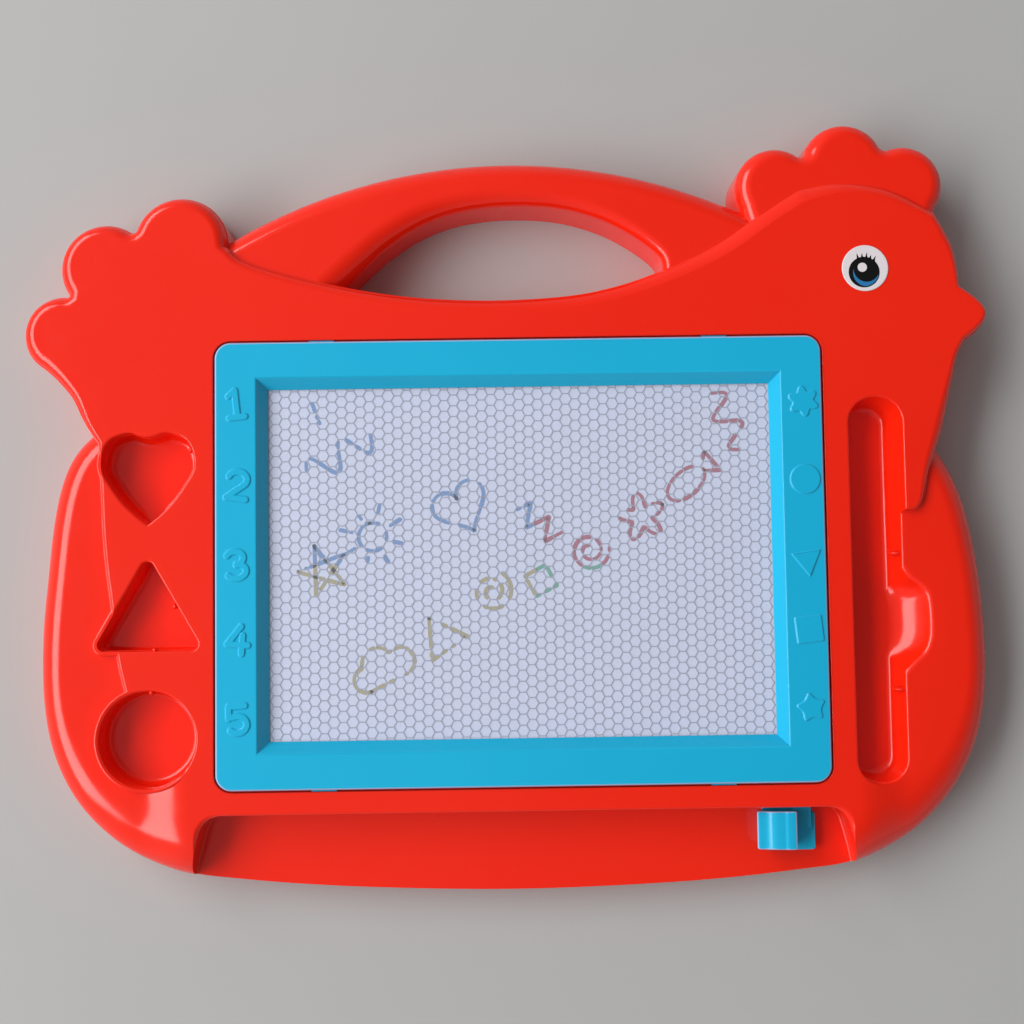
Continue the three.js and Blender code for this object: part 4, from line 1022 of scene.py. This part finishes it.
def plain_finish(name, colour, roughness, grain_mm, grain, alpha=1.0, bump_mm=0.0):
    """A finish of one colour whose roughness and tone carry a fine grain of that size."""
    material, tree, shader, place = finish(name)
    noise = add(tree, "TexNoise", {"Vector": place, "Scale": per_mm(grain_mm), "Detail": 3.0})
    tone = add(tree, "MapRange", {"Value": noise, "To Min": 1 - grain, "To Max": 1 + grain})
    base = add(tree, "VectorMath", {0: linear(colour)[:3], "Scale": tone}, operation="SCALE")
    rough = add(tree, "MapRange", {"Value": noise, "To Min": roughness - grain, "To Max": roughness + grain})
    feed(shader, {"Base Color": base, "Roughness": rough, "Alpha": alpha, "IOR": 1.5})
    if bump_mm:
        bump = add(tree, "Bump", {"Height": noise, "Strength": 0.5, "Distance": bump_mm * MM})
        feed(shader, {"Normal": bump})
    return material


# Polypropylene straight from a polished mould: saturated, smooth, with a crisp but slightly hazed reflection
red_polypropylene = gloss_moulding("red moulded polypropylene", "#F8280F", "#F4210A", 0.15, 0.1)
# Polystyrene from a polished mould: a harder, cleaner gloss
blue_polystyrene = gloss_moulding("blue moulded polystyrene", "#1AB9E4", "#13AEDB", 0.18, 0.0)
# Painted highlight: the same blue, paler and rougher, put on the outer rounded edges in place of the light
# they catch
pale_edge_highlight = plain_finish("blue polystyrene, painted edge highlight", "#9DB2DA", 0.42, 4, 0.05)
# Extruded clear sheet: hardly seen but for a soft sheen
clear_sheet = plain_finish("clear extruded sheet", "#E9ECF6", 0.18, 30, 0.02, alpha=0.1)
# Thermoformed cell walls, seen on edge: grey against the fluid
cell_wall_plastic = plain_finish("thermoformed cell wall", "#9CA2B8", 0.5, 5, 0.05)
# Thick white fluid with iron powder, tinted by the back sheet
cell_fluid = plain_finish("thick white cell fluid", "#D1D9F2", 0.45, 12, 0.03)
# Iron powder drawn up to the film: matte, grainy strokes, tinted by the colour zones of the screen
powders = {
    zone: plain_finish("powder stroke in the " + zone + " zone", colour, 0.8, 0.35, 0.16)
    for zone, colour in {"blue": "#5F8CC4", "olive": "#A39C78", "plum": "#A0526E", "green": "#56A090"}.items()
}
# Gloss-laminated vinyl with screen-printed inks
white_vinyl = plain_finish("gloss white vinyl", "#E6DFE4", 0.25, 15, 0.02)
black_ink = plain_finish("black screen ink", "#060507", 0.3, 8, 0.03)
blue_ink = plain_finish("blue screen ink", "#2C78B2", 0.3, 3, 0.05)
# Opaque white polyester sheet, satin
white_sheet = plain_finish("white polyester sheet", "#E4E6EE", 0.4, 25, 0.03)
# Extruded magnetic rubber: dark, dull, faintly grained
magnetic_rubber = plain_finish("extruded magnetic rubber", "#2E2A28", 0.7, 0.6, 0.08, bump_mm=0.05)


def paint_edge_highlight(made, is_edge):
    """Gives the faces of an outer edge, told by their middle in millimetres and normal, the paler finish that
    paints a highlight on them.
    """
    made.data.materials.append(pale_edge_highlight)
    for face in made.data.polygons:
        face.material_index = int(is_edge(np.array(face.center) / MM - [*CENTRE, 0], face.normal))


def on_bezel_edge(place, normal):
    beyond = np.maximum(abs(place[:2]) - (BEZEL / 2 - BEZEL_CORNER), 0)
    return np.hypot(*beyond) > BEZEL_CORNER - 0.58 and place[2] > BEZEL_TOP - 0.6 and 0.05 < normal.z < 0.99


def on_grip_edge(place, normal):
    end = abs(abs(place[1] - KNOB_Y) - KNOB_DEPTH / 2) < KNOB_ROUND and abs(normal.y) > 0.15
    side = abs(normal.x) > 0.3 and (place[0] > KNOB_X + 1.5 or place[0] < KNOB_X - 9.2)
    return (end or side) and place[2] > KNOB_LOW + 7.5 and 0.05 < normal.z < 0.97


# ---- The dressed model ----
piece("hen_shell", moulded_shell(), red_polypropylene, "red_plastic", "board", "shell", sharp=35)
blue_frame = piece("bezel_frame", bezel_block(), blue_polystyrene, "blue_plastic", "board", "bezel", sharp=28)
# Painted highlight: a paler tone on the frame's outer rounded edge
paint_edge_highlight(blue_frame, on_bezel_edge)
piece("bezel_figures", merged(bezel_figures()), blue_polystyrene, "blue_plastic", "board", sharp=50)
grip = piece("eraser_grip", knob(), blue_polystyrene, "blue_plastic", "eraser", "eraser_knob", sharp=40)
# Painted highlight: a paler tone on the grip's rounded rims
paint_edge_highlight(grip, on_grip_edge)

fluid = prism(rounded_rectangle(CORE, 2), 17.3, FLUID_TOP)
piece("fluid_layer", fluid, cell_fluid, "cell_layer", "board", "honeycomb_core")
piece("cell_walls", cell_walls(), cell_wall_plastic, "cell_layer", "board")
for zone, solids in powder_marks().items():
    piece("powder_" + zone, merged(solids), powders[zone], "cell_layer", "board")

white, *layers = eye_pieces()
piece("eye_white", white, white_vinyl, "printed_sticker", "board", "eye_sticker", sharp=50)
inks = (black_ink, blue_ink, black_ink, white_vinyl)
for name, layer, ink in zip(("black", "blue", "inner", "glint"), layers, inks):
    piece("eye_" + name, layer, ink, "printed_sticker", "board")

coat(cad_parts["front_film"], clear_sheet)
coat(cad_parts["back_film"], white_sheet)
coat(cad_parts["eraser_carrier"], blue_polystyrene)
coat(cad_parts["magnet_strip"], magnetic_rubber)

# ---- Table, light and camera ----
reach = 4.0
table_mesh = bpy.data.meshes.new("table_top")
table_mesh.from_pydata([(*place, 0) for place in -reach * CORNERS], [], [(0, 1, 2, 3)])
table_top = placed("table_top", table_mesh)
# Pale painted board: matte and even
coat(table_top, plain_finish("pale matte paint", "#B3B4B4", 0.75, 60, 0.02))

# A large soft window, which looks at the middle of the slate
azimuth, elevation, distance = radians(172), radians(41), 2.0
window = bpy.data.lights.new("window_light", "AREA")
window.shape = "RECTANGLE"
window.size, window.size_y = 3.25, 1.0
window.energy = 56
window.color = (1, 0.988, 0.975)
flat = cos(elevation)
toward = Vector((cos(azimuth) * flat, sin(azimuth) * flat, sin(elevation)))
window_light = placed("window_light", window)
window_light.location = toward * distance
window_light.rotation_euler = toward.to_track_quat("Z", "Y").to_euler()

# Studio tent: dim overhead, brighter on the window side and towards the horizon
world = bpy.data.worlds.new("room")
world.use_nodes = True
sky = world.node_tree
ray = add(sky, "SeparateXYZ", {0: add(sky, "TexCoord", {}).outputs["Generated"]}).outputs
across = {"Value": ray["X"], "From Min": -0.4, "From Max": 0.4, "To Min": 0.45, "To Max": 0.12}
overhead = add(sky, "MapRange", across, interpolation_type="SMOOTHSTEP")
upwards = {"Value": ray["Z"], "From Min": 0.05, "From Max": 0.7, "To Min": 0.56, "To Max": overhead}
level = add(sky, "MapRange", upwards)
feed(sky.nodes["Background"], {"Color": linear("#F4F2F0"), "Strength": level})
scene.world = world
scene.view_settings.view_transform = "Standard"

camera = placed("camera", bpy.data.cameras.new("camera"))
camera.data.sensor_fit = "HORIZONTAL"
camera.data.angle = 2 * atan(512 / 1400)
camera.data.clip_start, camera.data.clip_end = 0.01, 20
place = Vector((CENTRE[0] - 5.12, CENTRE[1] - 11.16, 445.0)) * MM
tilt = Matrix.Rotation(-0.014707, 4, "Z") @ Matrix.Rotation(-0.005366, 4, "Y")
camera.matrix_world = Matrix.Translation(place) @ tilt @ Matrix.Rotation(0.061485, 4, "X")
scene.camera = camera
